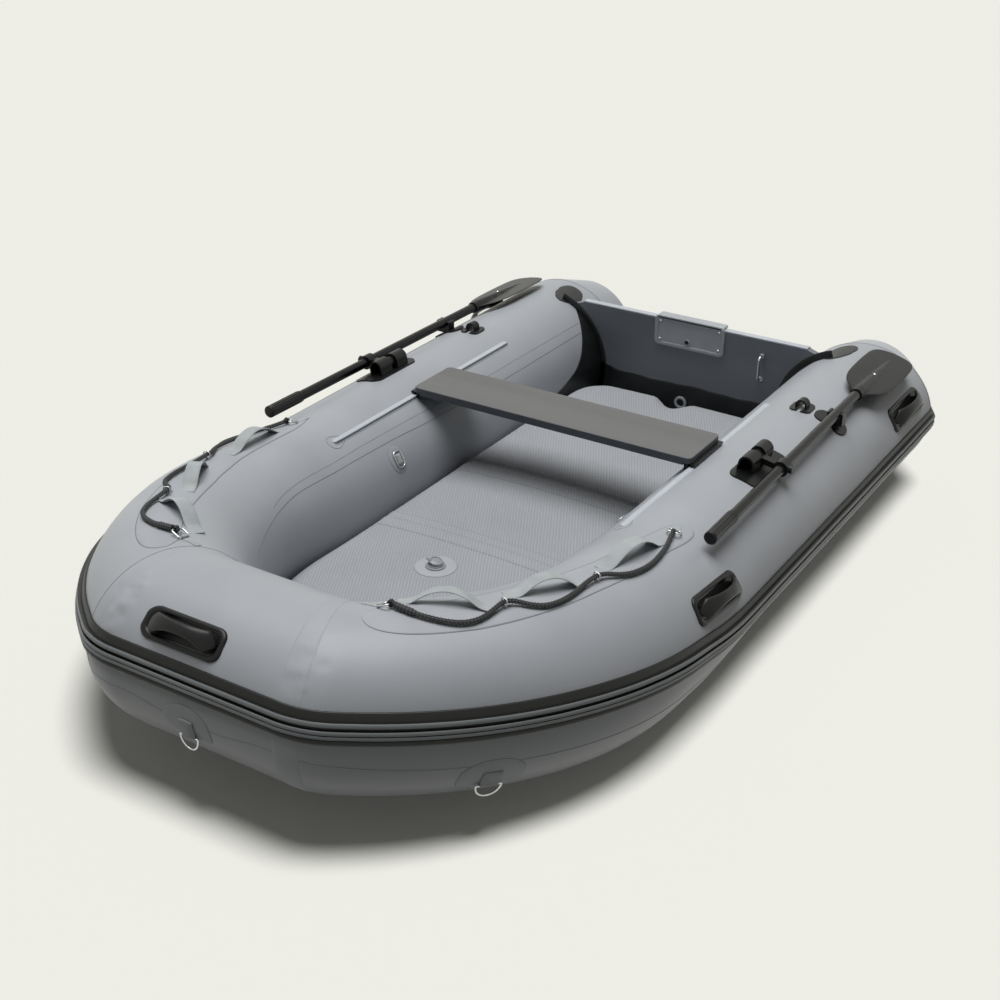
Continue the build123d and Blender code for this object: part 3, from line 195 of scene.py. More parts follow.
def tubeLine(s):
    # centre, outboard and upward directions and radius at s along the side tube from the bow corner:
    # a straight run, an arc in the lifted plane, a straight run, the kick's arc, a level run, the cone
    radius = hull["bowRadius"] + (hull["tubeRadius"] - hull["bowRadius"]) * np.clip(s / kickPlace, 0, 1)
    turn = np.where(s < hull["cornerRun"], cornerTurn,
                    np.minimum(cornerTurn + (s - hull["cornerRun"]) / arcRadius, np.pi / 2))
    arc = arcRadius * np.stack([np.sin(turn) - np.sin(cornerTurn), np.cos(cornerTurn) - np.cos(turn)])
    run = np.minimum(s, hull["cornerRun"])
    x = cornerX + run * np.cos(cornerTurn) + arc[0]
    v = run * np.sin(cornerTurn) + arc[1] + np.maximum(s - arcEnd, 0)
    tilt = np.clip(kickTilt - (s - kickPlace) / hull["kickRadius"], 0, kickTilt)
    y = np.where(s < kickPlace, bowY + v * np.cos(kickTilt), levelY - hull["kickRadius"] * np.sin(tilt))
    y = y + np.maximum(s - levelPlace, 0)
    z = np.where(s < kickPlace, bowZ - v * np.sin(kickTilt),
                 hull["tubeRadius"] + hull["kickRadius"] * (1 - np.cos(tilt)))
    taper = np.maximum((s - conePlace) / hull["coneRun"], 0)
    x = x - hull["coneEndInset"] * taper
    z = z + hull["coneEndRise"] * taper
    radius = radius + (hull["coneEndRadius"] - hull["tubeRadius"]) * taper
    up = np.stack([0 * tilt, np.sin(tilt), np.cos(tilt)], -1)
    out = np.cross(np.stack([np.cos(turn), np.sin(turn) * np.cos(tilt), -np.sin(turn) * np.sin(tilt)], -1), up)
    return np.stack([x, y, z], -1), out, up, radius


def bowLine(s):
    # the straight bow tube, with s negative from the corner towards the middle of the boat
    one = np.ones_like(s)
    centre = np.stack([cornerX + s, bowY * one, bowZ * one], -1)
    up = np.stack([0 * one, np.sin(kickTilt) * one, np.cos(kickTilt) * one], -1)
    out = np.stack([0 * one, -np.cos(kickTilt) * one, np.sin(kickTilt) * one], -1)
    return centre, out, up, hull["bowRadius"] * one


def smoothStep(value, low, high):
    # 0 below low, 1 above high, and 3t^2 - 2t^3 between them
    t = np.clip((value - low) / (high - low), 0, 1)
    return t * t * (3 - 2 * t)


def mitredPoint(s, angle, lift):
    # each lengthwise line starts at the mitre: s is shifted by radius cos(angle) tan(half turn), fading out
    fade = np.clip(1 - np.abs(s) / hull["skewFade"], 0, 1) ** 2
    skew = tubeLine(np.maximum(s, 0))[3] * np.cos(angle) * np.tan(cornerTurn / 2) * fade
    aft = (s >= 0)[..., None]
    side, front = tubeLine(s - skew), bowLine(s + skew)
    centre, out, up = (np.where(aft, a, b) for a, b in zip(side[:3], front[:3]))
    radius = np.where(aft[..., 0], side[3], front[3])
    away = out * np.cos(angle)[..., None] + up * np.sin(angle)[..., None]
    # low on its outer side the tube is drawn in a little by the bottom cloth it carries
    turned = (np.degrees(angle) - hull["tuckAngle"] + 180) % 360 - 180
    tuck = hull["tuck"] * np.exp(-(turned / hull["tuckSpread"]) ** 2) * smoothStep(s, hull["tuckStart"], hull["tuckEnd"])
    return centre + away * (radius + lift - tuck)[..., None]


def softness(s, angle):
    # the cloth's slow unevenness: a few long crossing waves, tenths of a millimetre high
    slow = np.sin(11 * s + 1.3 * np.cos(2 * angle)) * np.sin(3 * angle + 4.1 * s)
    quick = np.sin(37 * s + 5 * angle) * np.cos(23 * s - 4 * angle + 1)
    return 0.00035 * slow + 0.00016 * quick


# Small dents and puckers where the tape runs over the corner joint: place, angle, reach, height.
puckers = np.array([(-0.020, 40, 0.010, 0.0026), (-0.012, 50, 0.008, -0.0022), (-0.028, 56, 0.009, 0.0022),
                    (-0.016, 63, 0.007, 0.0020), (-0.032, 33, 0.010, -0.0018), (-0.014, 78, 0.009, 0.0014),
                    (0.012, 46, 0.012, -0.0014), (0.016, 66, 0.013, 0.0010), (-0.022, 24, 0.009, 0.0018),
                    (-0.036, 46, 0.008, -0.0014), (-0.008, 32, 0.008, 0.0013)])


def hullPoint(s, angleDegrees, lift=0.0, side=1):
    # a point over the tubes: the mitred point averaged over a short window that is widest at the corner,
    # plus the cloth's unevenness and the puckers, each a Gaussian hill
    s, angle, lift = np.broadcast_arrays(np.asarray(s, float), np.radians(angleDegrees), np.asarray(lift, float))
    lift = lift + softness(s, angle)
    for place, where, reach, height in puckers:
        across = (angle - np.radians(where)) * hull["bowRadius"]
        lift = lift + height * np.exp(-((s - place) ** 2 + across ** 2) / reach ** 2)
    window = hull["cornerSoftness"] * np.exp(-(s / hull["cornerReach"]) ** 2)
    steps = np.linspace(-1, 1, 9)
    weights = np.cos(steps * np.pi / 2.2)
    weights = weights / weights.sum()
    point = sum(w * mitredPoint(s + step * window, angle, lift) for w, step in zip(weights, steps))
    return point * np.array([side, 1, 1])


def placeAlong(y):
    return levelPlace + y - levelY  # distance along the tube of a y on its level run


def radiusAt(s):
    return tubeLine(np.maximum(s, 0))[3]


def tubePoint(s, angleDegrees, lift=0.0, side=1):
    # a point over the plain tube, as the CAD places its fittings: centre plus radius and lift outwards
    s, angle, lift = np.broadcast_arrays(np.asarray(s, float), np.radians(angleDegrees), np.asarray(lift, float))
    centre, out, up, radius = tubeLine(s)
    away = out * np.cos(angle)[..., None] + up * np.sin(angle)[..., None]
    return (centre + away * (radius + lift)[..., None]) * np.array([side, 1, 1])


def tubeAway(s, angleDegrees, side=1):
    # the outward direction there
    return (tubePoint(s, angleDegrees, 0.01, side) - tubePoint(s, angleDegrees, 0.0, side)) * 100


def sideMap(s, angleDegrees, side=1):
    # local place u along the tube, v round it (up the outer side) and height h become a point on the skin
    radius = float(tubeLine(np.array(max(s, 0.0)))[3])
    return lambda u, v, h: hullPoint(s + u, angleDegrees + np.degrees(v / radius), h, side)


def bowMap(x, angleDegrees):
    # the same over the straight bow tube, with u to port from x
    def place(u, v, h):
        across = x + np.asarray(u, float)
        point = hullPoint(np.abs(across) - cornerX, angleDegrees + np.degrees(v / hull["bowRadius"]), h)
        return point * np.stack([np.where(across < 0, -1, 1), 1 + 0 * across, 1 + 0 * across], -1)
    return place


print("hull line ready, tube", round(float(tubeEnd), 3), "m to the cone's end")


# ---- materials
def grained(name, dark, light, roughness, cloudSize, grainSize, relief, values=None, stretch=(1, 1, 1), uv=False):
    # colour drifts between two tones over a slow cloud; a fine grain of real size moves the normal and the gloss
    material = bpy.data.materials.new(name)
    material.use_nodes = True
    tree = material.node_tree
    shader = tree.nodes["Principled BSDF"]
    for key, value in (values or {}).items():
        shader.inputs[key].default_value = value
    if uv:
        place = addNode(tree, "ShaderNodeUVMap", {"uv_map": "cloth"}).outputs[0]
    else:
        place = addNode(tree, "ShaderNodeTexCoord").outputs["Object"]
    mapped = addNode(tree, "ShaderNodeMapping", {"Scale": stretch}, {"Vector": place}).outputs[0]
    cloud = addNode(tree, "ShaderNodeTexNoise", {"Scale": 1 / cloudSize, "Detail": 3.0}, {"Vector": mapped})
    grain = addNode(tree, "ShaderNodeTexNoise", {"Scale": 1 / grainSize, "Detail": 2.0}, {"Vector": mapped})
    spread = addNode(tree, "ShaderNodeMapRange", {"From Min": 0.3, "From Max": 0.7}, {"Value": cloud.outputs[0]})
    colour = addNode(tree, "ShaderNodeMix", {"data_type": "RGBA", 6: linearColour(dark), 7: linearColour(light)},
                     {0: spread.outputs[0]})
    gloss = addNode(tree, "ShaderNodeMapRange", {"From Min": 0.3, "From Max": 0.7, "To Min": roughness - 0.05,
                                                 "To Max": roughness + 0.05}, {"Value": grain.outputs[0]})
    bump = addNode(tree, "ShaderNodeBump", {"Strength": 1.0, "Distance": relief}, {"Height": grain.outputs[0]})
    tree.links.new(colour.outputs[2], shader.inputs["Base Color"])
    tree.links.new(gloss.outputs[0], shader.inputs["Roughness"])
    tree.links.new(bump.outputs[0], shader.inputs["Normal"])
    return {"material": material, "tree": tree, "shader": shader, "place": place, "colour": colour, "bump": bump}


def addRelief(look, height, distance):
    # a second relief under the grain's: the pattern's height moves the normal first, the grain after it
    under = addNode(look["tree"], "ShaderNodeBump", {"Strength": 1.0, "Distance": distance}, {"Height": height})
    look["tree"].links.new(under.outputs[0], look["bump"].inputs["Normal"])


def tint(look, factor, colour):
    # lays a colour over the base colour where the factor is high
    laid = addNode(look["tree"], "ShaderNodeMix", {"data_type": "RGBA", 7: linearColour(colour)},
                   {0: factor, 6: look["colour"].outputs[2]})
    look["tree"].links.new(laid.outputs[2], look["shader"].inputs["Base Color"])
    look["colour"] = laid


def crossedBands(look, pitch, degrees, sharpness):
    # two sets of fine ridges crossing at an angle: the product of two sine bands turned each way
    tree = look["tree"]
    heights = []
    for turn in (degrees, -degrees):
        turned = addNode(tree, "ShaderNodeMapping", {"Rotation": (0, 0, np.radians(turn))}, {"Vector": look["place"]})
        band = addNode(tree, "ShaderNodeTexWave", {"Scale": 0.31416 / pitch, "Distortion": 0.0},
                       {"Vector": turned.outputs[0]})
        heights.append(band.outputs[1])
    product = addNode(tree, "ShaderNodeMath", {"operation": "MULTIPLY"}, {0: heights[0], 1: heights[1]})
    shaped = addNode(tree, "ShaderNodeMath", {"operation": "POWER", 1: sharpness}, {0: product.outputs[0]})
    return shaped.outputs[0]


# PVC-coated polyester, calendered and welded: matt with a faint leathery grain, tone drifting in slow clouds.
tubeFabric = grained("pvc coated polyester", "#a1a5aa", "#abaeb3", 0.42, 0.30, 0.0032, 0.00010,
                     {"IOR": 1.5, "Specular IOR Level": 0.35}, uv=True)
# The same cloth cut as patches and glued on: a shade flatter, with the same grain.
patchFabric = grained("pvc patch cloth", "#a0a4a9", "#a8abb0", 0.58, 0.10, 0.0032, 0.00010, {"IOR": 1.5})
# Drop-stitch deck cloth with an embossed non-slip net; real pitch 4 mm, drawn at 8 mm so that it shows.
deckFabric = grained("embossed drop stitch cloth", "#aaadb2", "#b3b6bb", 0.62, 0.25, 0.0030, 0.00008, {"IOR": 1.5})
deckNet = crossedBands(deckFabric, 0.0080, 28, 0.6)
addRelief(deckFabric, deckNet, 0.0020)
# Painted shade: the net's hollows are laid darker, as shade falls in them.
deckHollowShade = addNode(deckFabric["tree"], "ShaderNodeMath", {"operation": "MULTIPLY_ADD", 1: -0.5, 2: 0.5}, {0: deckNet})
tint(deckFabric, deckHollowShade.outputs[0], "#75787d")
# Bottom cloth, the heavier grade of the same coated polyester.
bottomFabric = grained("heavy bottom cloth", "#85898e", "#8e9297", 0.55, 0.30, 0.0035, 0.00012, {"IOR": 1.5})
# Extruded synthetic rubber, black: dull with a soft shine along its edges and a chalky drift.
blackRubber = grained("black extruded rubber", "#0d0f0e", "#151716", 0.38, 0.20, 0.0040, 0.00008,
                      {"IOR": 1.52, "Specular IOR Level": 0.28})
# Extruded synthetic rubber, grey ribs: their grey is partly the rubber's own and partly a painted highlight of the
# sheen the rib crowns catch.
greyRibRubberAndSheen = grained("grey extruded rubber", "#6c7073", "#787c7f", 0.50, 0.20, 0.0040, 0.00008, {"IOR": 1.52})
# Calendered rubber sheet for the transom's sealing bands: black, slightly uneven where it was pressed on.
sealRubber = grained("black rubber sheet", "#0e1011", "#1a1c1e", 0.42, 0.05, 0.0060, 0.00025,
                     {"IOR": 1.52, "Specular IOR Level": 0.35})
# Seam line: a darker tone along the lapped edge where two cloths meet, painted shade of that edge.
seamShadeLook = grained("seam edge", "#777b80", "#80848a", 0.60, 0.05, 0.0020, 0.00004)
# Moulded glass-filled nylon: fine spark-eroded grain, satin highlights.
mouldedNylon = grained("moulded black nylon", "#0e0f10", "#161718", 0.33, 0.06, 0.0016, 0.00005,
                       {"IOR": 1.53, "Specular IOR Level": 0.22})
# Moulded grey nylon of the motor plate.
greyNylon = grained("moulded grey nylon", "#a4a9ad", "#afb4b8", 0.36, 0.06, 0.0018, 0.00006, {"IOR": 1.53})
# Valve acetal, pale grey and smooth.
valveAcetal = grained("moulded acetal", "#8b8f93", "#989ca0", 0.32, 0.04, 0.0012, 0.00003, {"IOR": 1.48})
# Anodised aluminium tube, black: fine drawing lines along it, a narrow metallic highlight.
anodisedTube = grained("black anodised aluminium", "#141517", "#1a1b1e", 0.28, 0.15, 0.0012, 0.00003,
                       {"Metallic": 0.6}, (1, 0.05, 1))
# Drawn stainless wire, electropolished.
stainlessWire = grained("electropolished stainless", "#b4b6b8", "#c6c8ca", 0.22, 0.02, 0.0010, 0.00002,
                        {"Metallic": 1.0})
# Marine plywood under grey-black paint: a faint grain runs along it, with a satin coat.
paintedBoard = grained("painted marine plywood", "#6c7077", "#757980", 0.42, 0.12, 0.0035, 0.00008,
                       {"IOR": 1.5}, (0.25, 1, 1))
# Aluminium-faced seat board, brushed across the boat and sealed.
seatBoard = grained("brushed sealed seat board", "#656565", "#6f6f6f", 0.44, 0.10, 0.0016, 0.00006,
                    {"IOR": 1.5, "Specular IOR Level": 0.25}, (0.06, 1, 1))
# Polyester webbing, plain woven flat: light grey, its weft ridges across the strap.
webbing = grained("woven polyester webbing", "#a3a8aa", "#b2b7b9", 0.70, 0.04, 0.0015, 0.00010, {"IOR": 1.5})
addRelief(webbing, crossedBands(webbing, 0.0024, 45, 0.8), 0.0003)
# Braided polyester rope: black yarns; the grey laid on the strands' crowns is a painted highlight.
ropeYarn = grained("braided polyester rope", "#101112", "#1c1d1f", 0.68, 0.02, 0.0012, 0.00015, {"IOR": 1.5}, uv=True)
# Soft grey extruded rail, paler than the cloth and a little glossier along its ridge.
railRubber = grained("grey rail extrusion", "#b4bac1", "#c0c6cc", 0.46, 0.15, 0.0025, 0.00006, {"IOR": 1.5})
# Twisted polyester sewing thread, dark grey.
thread = grained("polyester sewing thread", "#4b4e52", "#565a5e", 0.65, 0.02, 0.0008, 0.00005)


def paintShadeBelow(look, height, colour):
    # painted shade: below a height the board's sides are laid darker, as they stand in shade; the object's own z
    # against that height
    parts = addNode(look["tree"], "ShaderNodeSeparateXYZ", links={0: look["place"]})
    below = addNode(look["tree"], "ShaderNodeMath", {"operation": "LESS_THAN", 1: height}, {0: parts.outputs[2]})
    tint(look, below.outputs[0], colour)


# The seat board's sides below its top face get a darker tone: painted shade.
paintShadeBelow(seatBoard, 0.4448, "#4f5359")
print("materials ready")

# ---- cords first
lifeline = {"diameter": 0.011, "length": 0.885, "braidPitch": 0.016, "braidHeight": 0.0013, "stations": 760, "splice": 0.055, "spliceSwell": 0.42,
            "around": 28, "ringSize": 0.028, "ringTilt": 18.0, "eyeRadius": 0.0058, "eyeWall": 0.0035,
            "ringLift": 0.0043}
lifelineRoute = np.array([
    (305.9, -1012.7, 533.2), (353.8, -1013.1, 529.2), (386.0, -1003.8, 524.1), (420.4, -988.5, 518.2),
    (447.9, -966.1, 513.4), (464.4, -933.5, 511.8), (469.0, -896.0, 514.0), (471.0, -857.0, 518.0),
    (486.0, -833.7, 511.0), (512.1, -821.0, 504.0), (539.0, -797.8, 497.8), (553.1, -757.3, 494.0),
    (558.1, -712.1, 492.0), (557.1, -663.9, 491.9), (561.1, -620.2, 492.1), (571.0, -590.1, 484.8),
    (587.8, -568.2, 476.9), (603.0, -538.0, 469.9), (611.6, -494.9, 463.3), (612.8, -448.1, 457.9),
    (607.1, -398.2, 454.2), (598.3, -348.1, 451.4), (588.1, -313.8, 451.2), (584.0, -293.5, 451.7)]) / 1000


def splinePoints(route):
    # the points along the route's own smooth spline, read from a curve that has no bevel
    curve = bpy.data.curves.new("route", "CURVE")
    curve.dimensions = "3D"
    curve.resolution_u = 24
    spline = curve.splines.new("NURBS")
    spline.points.add(len(route) - 1)
    spline.points.foreach_set("co", np.column_stack([route, np.ones(len(route))]).ravel())
    spline.order_u = 3
    spline.use_endpoint_u = True
    holder = bpy.data.objects.new("route", curve)
    mesh = bpy.data.meshes.new_from_object(holder)
    line = np.empty(len(mesh.vertices) * 3)
    mesh.vertices.foreach_get("co", line)
    bpy.data.objects.remove(holder)
    bpy.data.meshes.remove(mesh)
    return line.reshape(-1, 3)


def evenly(line, count):
    # the same line with its points at even distances
    along = np.concatenate([[0], np.cumsum(np.linalg.norm(np.diff(line, axis=0), axis=1))])
    wanted = np.linspace(0, along[-1], count)
    return np.stack([np.interp(wanted, along, column) for column in line.T], -1), wanted


def unit(vectors):
    return vectors / np.linalg.norm(vectors, axis=-1, keepdims=True)


def ropeTube(line, along, away, radius, closed=False, flat=1.0):
    # a tube round the line; strands wind both ways and their crossing sine waves give the braid's height
    tangent = np.roll(line, -1, 0) - np.roll(line, 1, 0) if closed else np.gradient(line, axis=0)
    tangent = unit(tangent)
    side = unit(np.cross(tangent, away))
    normal = np.cross(side, tangent)
    angle = np.linspace(0, 2 * np.pi, lifeline["around"], endpoint=False)
    wind = 2 * np.pi * along[:, None] / lifeline["braidPitch"]
    braid = np.cos(4 * angle + wind) * np.cos(4 * angle - wind)
    reach = radius - lifeline["braidHeight"] * 0.5 + lifeline["braidHeight"] * braid
    across = side[:, None] * (np.cos(angle)[:, None] * flat) + normal[:, None] * np.sin(angle)[:, None]
    points = line[:, None] + across * reach[..., None]
    uv = np.stack(np.broadcast_arrays(along[:, None], angle * lifeline["diameter"] / 2), -1)
    return points, uv


def paintRopeHighlights():
    # painted highlight: the crowns of the strands are laid a little grey, while the hollows between them keep the
    # rope's black; the same crossing waves as the shape
    tree, place = ropeYarn["tree"], ropeYarn["place"]
    parts = addNode(tree, "ShaderNodeSeparateXYZ", links={0: place})
    wind = addNode(tree, "ShaderNodeMath", {"operation": "MULTIPLY", 1: 2 * np.pi / lifeline["braidPitch"]},
                   {0: parts.outputs[0]})
    turn = addNode(tree, "ShaderNodeMath", {"operation": "MULTIPLY", 1: 8 / lifeline["diameter"]}, {0: parts.outputs[1]})
    waves = []
    for sign in ("ADD", "SUBTRACT"):
        phase = addNode(tree, "ShaderNodeMath", {"operation": sign}, {0: turn.outputs[0], 1: wind.outputs[0]})
        waves.append(addNode(tree, "ShaderNodeMath", {"operation": "COSINE"}, {0: phase.outputs[0]}))
    crown = addNode(tree, "ShaderNodeMath", {"operation": "MULTIPLY", "use_clamp": True},
                    {0: waves[0].outputs[0], 1: waves[1].outputs[0]})
    tint(ropeYarn, crown.outputs[0], "#54575a")


paintRopeHighlights()


def makeLifeline(name, side):
    # the rope from the fore ring to the aft one, lying on the tube through its guide rings
    mirror = np.array([side, 1, 1])
    line, along = evenly(splinePoints(lifelineRoute * mirror), lifeline["stations"])
    away = np.array([0.25 * side, 0, 0.97])
    swell = 1 + lifeline["spliceSwell"] * (1 - smoothStep(along, lifeline["splice"] * 0.7, lifeline["splice"]))
    points, uv = ropeTube(line, along, away, lifeline["diameter"] / 2 * swell[:, None])
    faces = sweepFaces(lifeline["stations"], lifeline["around"])
    rope = makePiece("lifeline_rope_" + name, points, faces, [ropeYarn["material"]],
                     replaces=["lifeline_" + name], uv=uv, uvPeriod=np.pi * lifeline["diameter"], sharp=70)
    eyes = [makeRopeEye(name + "_" + end, side, s, angle, target)
            for end, s, angle, target in (("fore", 0.087, 96.7, lifelineRoute[0]), ("aft", 0.957, 81.2, lifelineRoute[-1]))]
    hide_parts("lifeline_eyes_" + name)
    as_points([tuple(point) for point in line[::4]] + [tuple(line[-1])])
    return rope


def makeRopeEye(name, side, s, angle, target):
    # the rope's turn round the ring's far bar: a ring of braid, wider than it is deep
    base = tubePoint(s, angle)
    up = unit(tubeAway(s, angle))
    pull = target - base
    forward = unit(pull - up * (pull @ up))
    tilt = np.radians(lifeline["ringTilt"])
    reach = forward * np.cos(tilt) + up * np.sin(tilt)
    lifted = up * np.cos(tilt) - forward * np.sin(tilt)
    centre = base + up * lifeline["ringLift"] + reach * lifeline["ringSize"]
    turn = np.linspace(0, 2 * np.pi, 72, endpoint=False)
    line = centre + (reach * np.cos(turn)[:, None] + lifted * np.sin(turn)[:, None]) * lifeline["eyeRadius"]
    outward = unit(line - centre)
    points, uv = ropeTube(line, turn * lifeline["eyeRadius"], outward, lifeline["eyeWall"], closed=True,
                          flat=lifeline["diameter"] / 2 / lifeline["eyeWall"])
    faces = [gridFaces(len(turn), lifeline["around"], True, True)]
    return makePiece("rope_eye_" + name, points * np.array([side, 1, 1]), faces, [ropeYarn["material"]],
                     uv=uv, sharp=70)


sides = (("port", 1), ("starboard", -1))
for name, side in sides:
    makeLifeline(name, side)
print("cords ready")

# ---- tube skins
skin = {"columns": 180, "edgeRound": 0.034, "edgeCentre": 0.1279, "capDome": 0.008}
around = np.linspace(0, 360, skin["columns"], endpoint=False)
cornerRows = np.concatenate([np.linspace(0, 0.06, 22), np.linspace(0.06, 0.30, 30)[1:]])


def makeBowSkin():
    # the straight bow tube, one half and its mirror image, the lengthwise lines meeting the mitres
    rows = np.concatenate([np.linspace(-cornerX, -0.06, 22)[:-1], np.linspace(-0.06, 0, 24)])
    half = hullPoint(rows[:, None], around[None])
    other = half[::-1] * np.array([-1, 1, 1])
    points = np.concatenate([other[:-1], half])
    place = np.concatenate([-(rows[::-1] + cornerX)[:-1], rows + cornerX])
    uv = np.stack(np.broadcast_arrays(place[:, None], np.radians(around) * hull["bowRadius"]), -1)
    makePiece("tube_skin_bow", points, sweepFaces(len(points), len(around)), [tubeFabric["material"]],
              replaces=["tube_bow"], uv=uv, uvPeriod=2 * np.pi * hull["bowRadius"])


def makeSideSkin(name, side):
    # the side tube and its stern cone; past the cone a quarter round and a shallow dome close the end
    tip = tubeEnd - skin["capDome"]
    rows = np.concatenate([cornerRows, np.linspace(0.30, conePlace, 96)[1:],
                           np.linspace(conePlace, tip - 0.0202, 12)[1:]])
    body = hullPoint(rows[:, None], around[None])
    bend = np.radians(np.linspace(60, 0, 8))
    reach = np.concatenate([skin["edgeCentre"] + skin["edgeRound"] * np.sin(bend), skin["edgeCentre"] * np.linspace(0.9, 0.03, 9)])
    endRows = np.concatenate([tip - skin["edgeRound"] + skin["edgeRound"] * np.cos(bend),
                              tip + skin["capDome"] * (1 - np.linspace(0.9, 0.03, 9) ** 2)])
    centre, out, up, radius = tubeLine(endRows)
    angle = np.radians(around)
    away = out[:, None] * np.cos(angle)[:, None] + up[:, None] * np.sin(angle)[:, None]
    cap = centre[:, None] + away * reach[:, None, None]
    points = np.concatenate([body, cap]) * np.array([side, 1, 1])
    place = np.concatenate([rows, endRows[:8], endRows[8:] + skin["edgeCentre"] * np.linspace(0.1, 0.97, 9)])
    uv = np.stack(np.broadcast_arrays(place[:, None], angle * hull["tubeRadius"]), -1)
    makePiece("tube_skin_" + name, points, sweepFaces(len(points), len(around)), [tubeFabric["material"]],
              replaces=["tube_" + name, "stern_cone_" + name], uv=uv,
              uvPeriod=2 * np.pi * hull["tubeRadius"])


makeBowSkin()
for name, side in sides:
    makeSideSkin(name, side)
print("tube skins ready")

# ---- rubbing strake: place across in mm from its middle, height in mm, 0 black and 1 grey to the next point; the grey on the rib crowns is partly painted highlight
strake = {"angle": 10.6, "drop": 5.6, "dropStart": 0.40, "dropEnd": 1.15, "end": 2.4564}
strakeProfile = np.array([
    (-35.0, -1.0, 0), (-35.0, 2.5, 0), (-34.3, 6.0, 0), (-32.5, 8.6, 0), (-30.0, 10.1, 0), (-27.0, 10.6, 0),
    (-24.0, 10.1, 0), (-21.6, 8.6, 0), (-20.0, 6.0, 0), (-19.6, 5.0, 1), (-19.2, 12.2, 1), (-18.4, 13.0, 1),
    (-12.6, 13.0, 1), (-11.9, 12.4, 0), (-11.6, 9.6, 0), (-10.4, 9.6, 1), (-10.1, 13.3, 1), (-9.4, 14.0, 1),
    (-2.6, 14.0, 1), (-1.9, 13.3, 0), (-1.3, 5.2, 0), (4.3, 5.2, 1), (4.9, 13.3, 1), (5.6, 14.0, 1),
    (13.4, 14.0, 1), (14.1, 13.3, 0), (14.8, 5.2, 0), (32.6, 5.0, 0), (34.4, 4.0, 0), (35.0, 2.2, 0), (35.0, -1.0, 0)])


def strakePoints(rows, scale=None):
    # the profile carried along the tube, each point at its own angle and height
    place, height = strakeProfile[:, 0] / 1000, strakeProfile[:, 1] / 1000
    middle = strake["angle"] - strake["drop"] * smoothStep(rows, strake["dropStart"], strake["dropEnd"])
    angle = middle[:, None] + np.degrees(place / radiusAt(rows)[:, None])
    lift = np.broadcast_to(height, angle.shape)
    if scale is not None:
        lift = np.where(lift > 0, lift * scale[:, None], lift)
    return hullPoint(rows[:, None], angle, lift)


def makeStrake(name, points, nodes):
    count = len(strakeProfile)
    faces = sweepFaces(len(points), count)
    tones = np.concatenate([np.tile(strakeProfile[:, 2], len(points) - 1), [0, 0]])
    # faces marked 1 wear the grey, which is partly painted highlight on the rib crowns
    makePiece("strake_" + name, points, faces, [blackRubber["material"], greyRibRubberAndSheen["material"]],
              replaces=nodes, faceMaterial=tones, sharp=50)


bowRows = np.concatenate([np.linspace(-cornerX, -0.06, 14)[:-1], np.linspace(-0.06, 0, 22)])
bowHalf = strakePoints(bowRows)
makeStrake("bow", np.concatenate([(bowHalf[::-1] * np.array([-1, 1, 1]))[:-1], bowHalf]), ["rubbing_strake_bow"])
sideRows = np.concatenate([cornerRows, np.linspace(0.30, strake["end"], 150)[1:]])
sideScale = np.sqrt(np.clip(1 - np.clip((sideRows - strake["end"] + 0.012) / 0.012, 0, 1) ** 2, 0.02, 1))
for name, side in sides:
    makeStrake(name, strakePoints(sideRows, sideScale) * np.array([side, 1, 1]), ["rubbing_strake_" + name])
print("strakes ready")


# ---- strips, patches and pads laid on the skins
def resample(path, step):
    # the same path with a point at least every step metres; the angle counts as distance round the tube
    path = np.asarray(path, float)
    flat = np.stack([path[:, 0], np.radians(path[:, 1]) * 0.21], -1)
    along = np.concatenate([[0], np.cumsum(np.linalg.norm(np.diff(flat, axis=0), axis=1))])
    wanted = np.linspace(0, along[-1], max(int(along[-1] / step), 2) + 1)
    return np.stack([np.interp(wanted, along, path[:, k]) for k in range(2)], -1)


def softened(path, step, rounds):
    # corners eased: each inner point moves to the mean of itself and its neighbours, several times
    path = resample(path, step)
    for turn in range(rounds):
        path[1:-1] = (path[:-2] + 2 * path[1:-1] + path[2:]) / 4
    return path


def hullStrip(name, path, width, height, material, side=1, rounds=6, step=0.008):
    # a low ribbon along a path of place and angle; its edges run just under the skin
    path = softened(path, step, rounds)
    flat = np.stack([path[:, 0], np.radians(path[:, 1]) * 0.21], -1)
    heading = unit(np.gradient(flat, axis=0))
    across = np.stack([-heading[:, 1], heading[:, 0]], -1)
    spread = np.array([-1, -0.92, -0.7, 0, 0.7, 0.92, 1]) * width / 2
    lift = np.array([-0.0008, 0.6 * height, height, height, height, 0.6 * height, -0.0008])
    local = flat[:, None] + across[:, None] * spread[:, None]
    place, angle = local[..., 0], np.degrees(local[..., 1] / 0.21)
    top = hullPoint(place, angle, np.broadcast_to(lift, place.shape), side)
    bottom = hullPoint(place, angle, -0.0016, side)
    points, faces = slab(top, bottom)
    return makePiece(name, points, faces, [material], sharp=60)


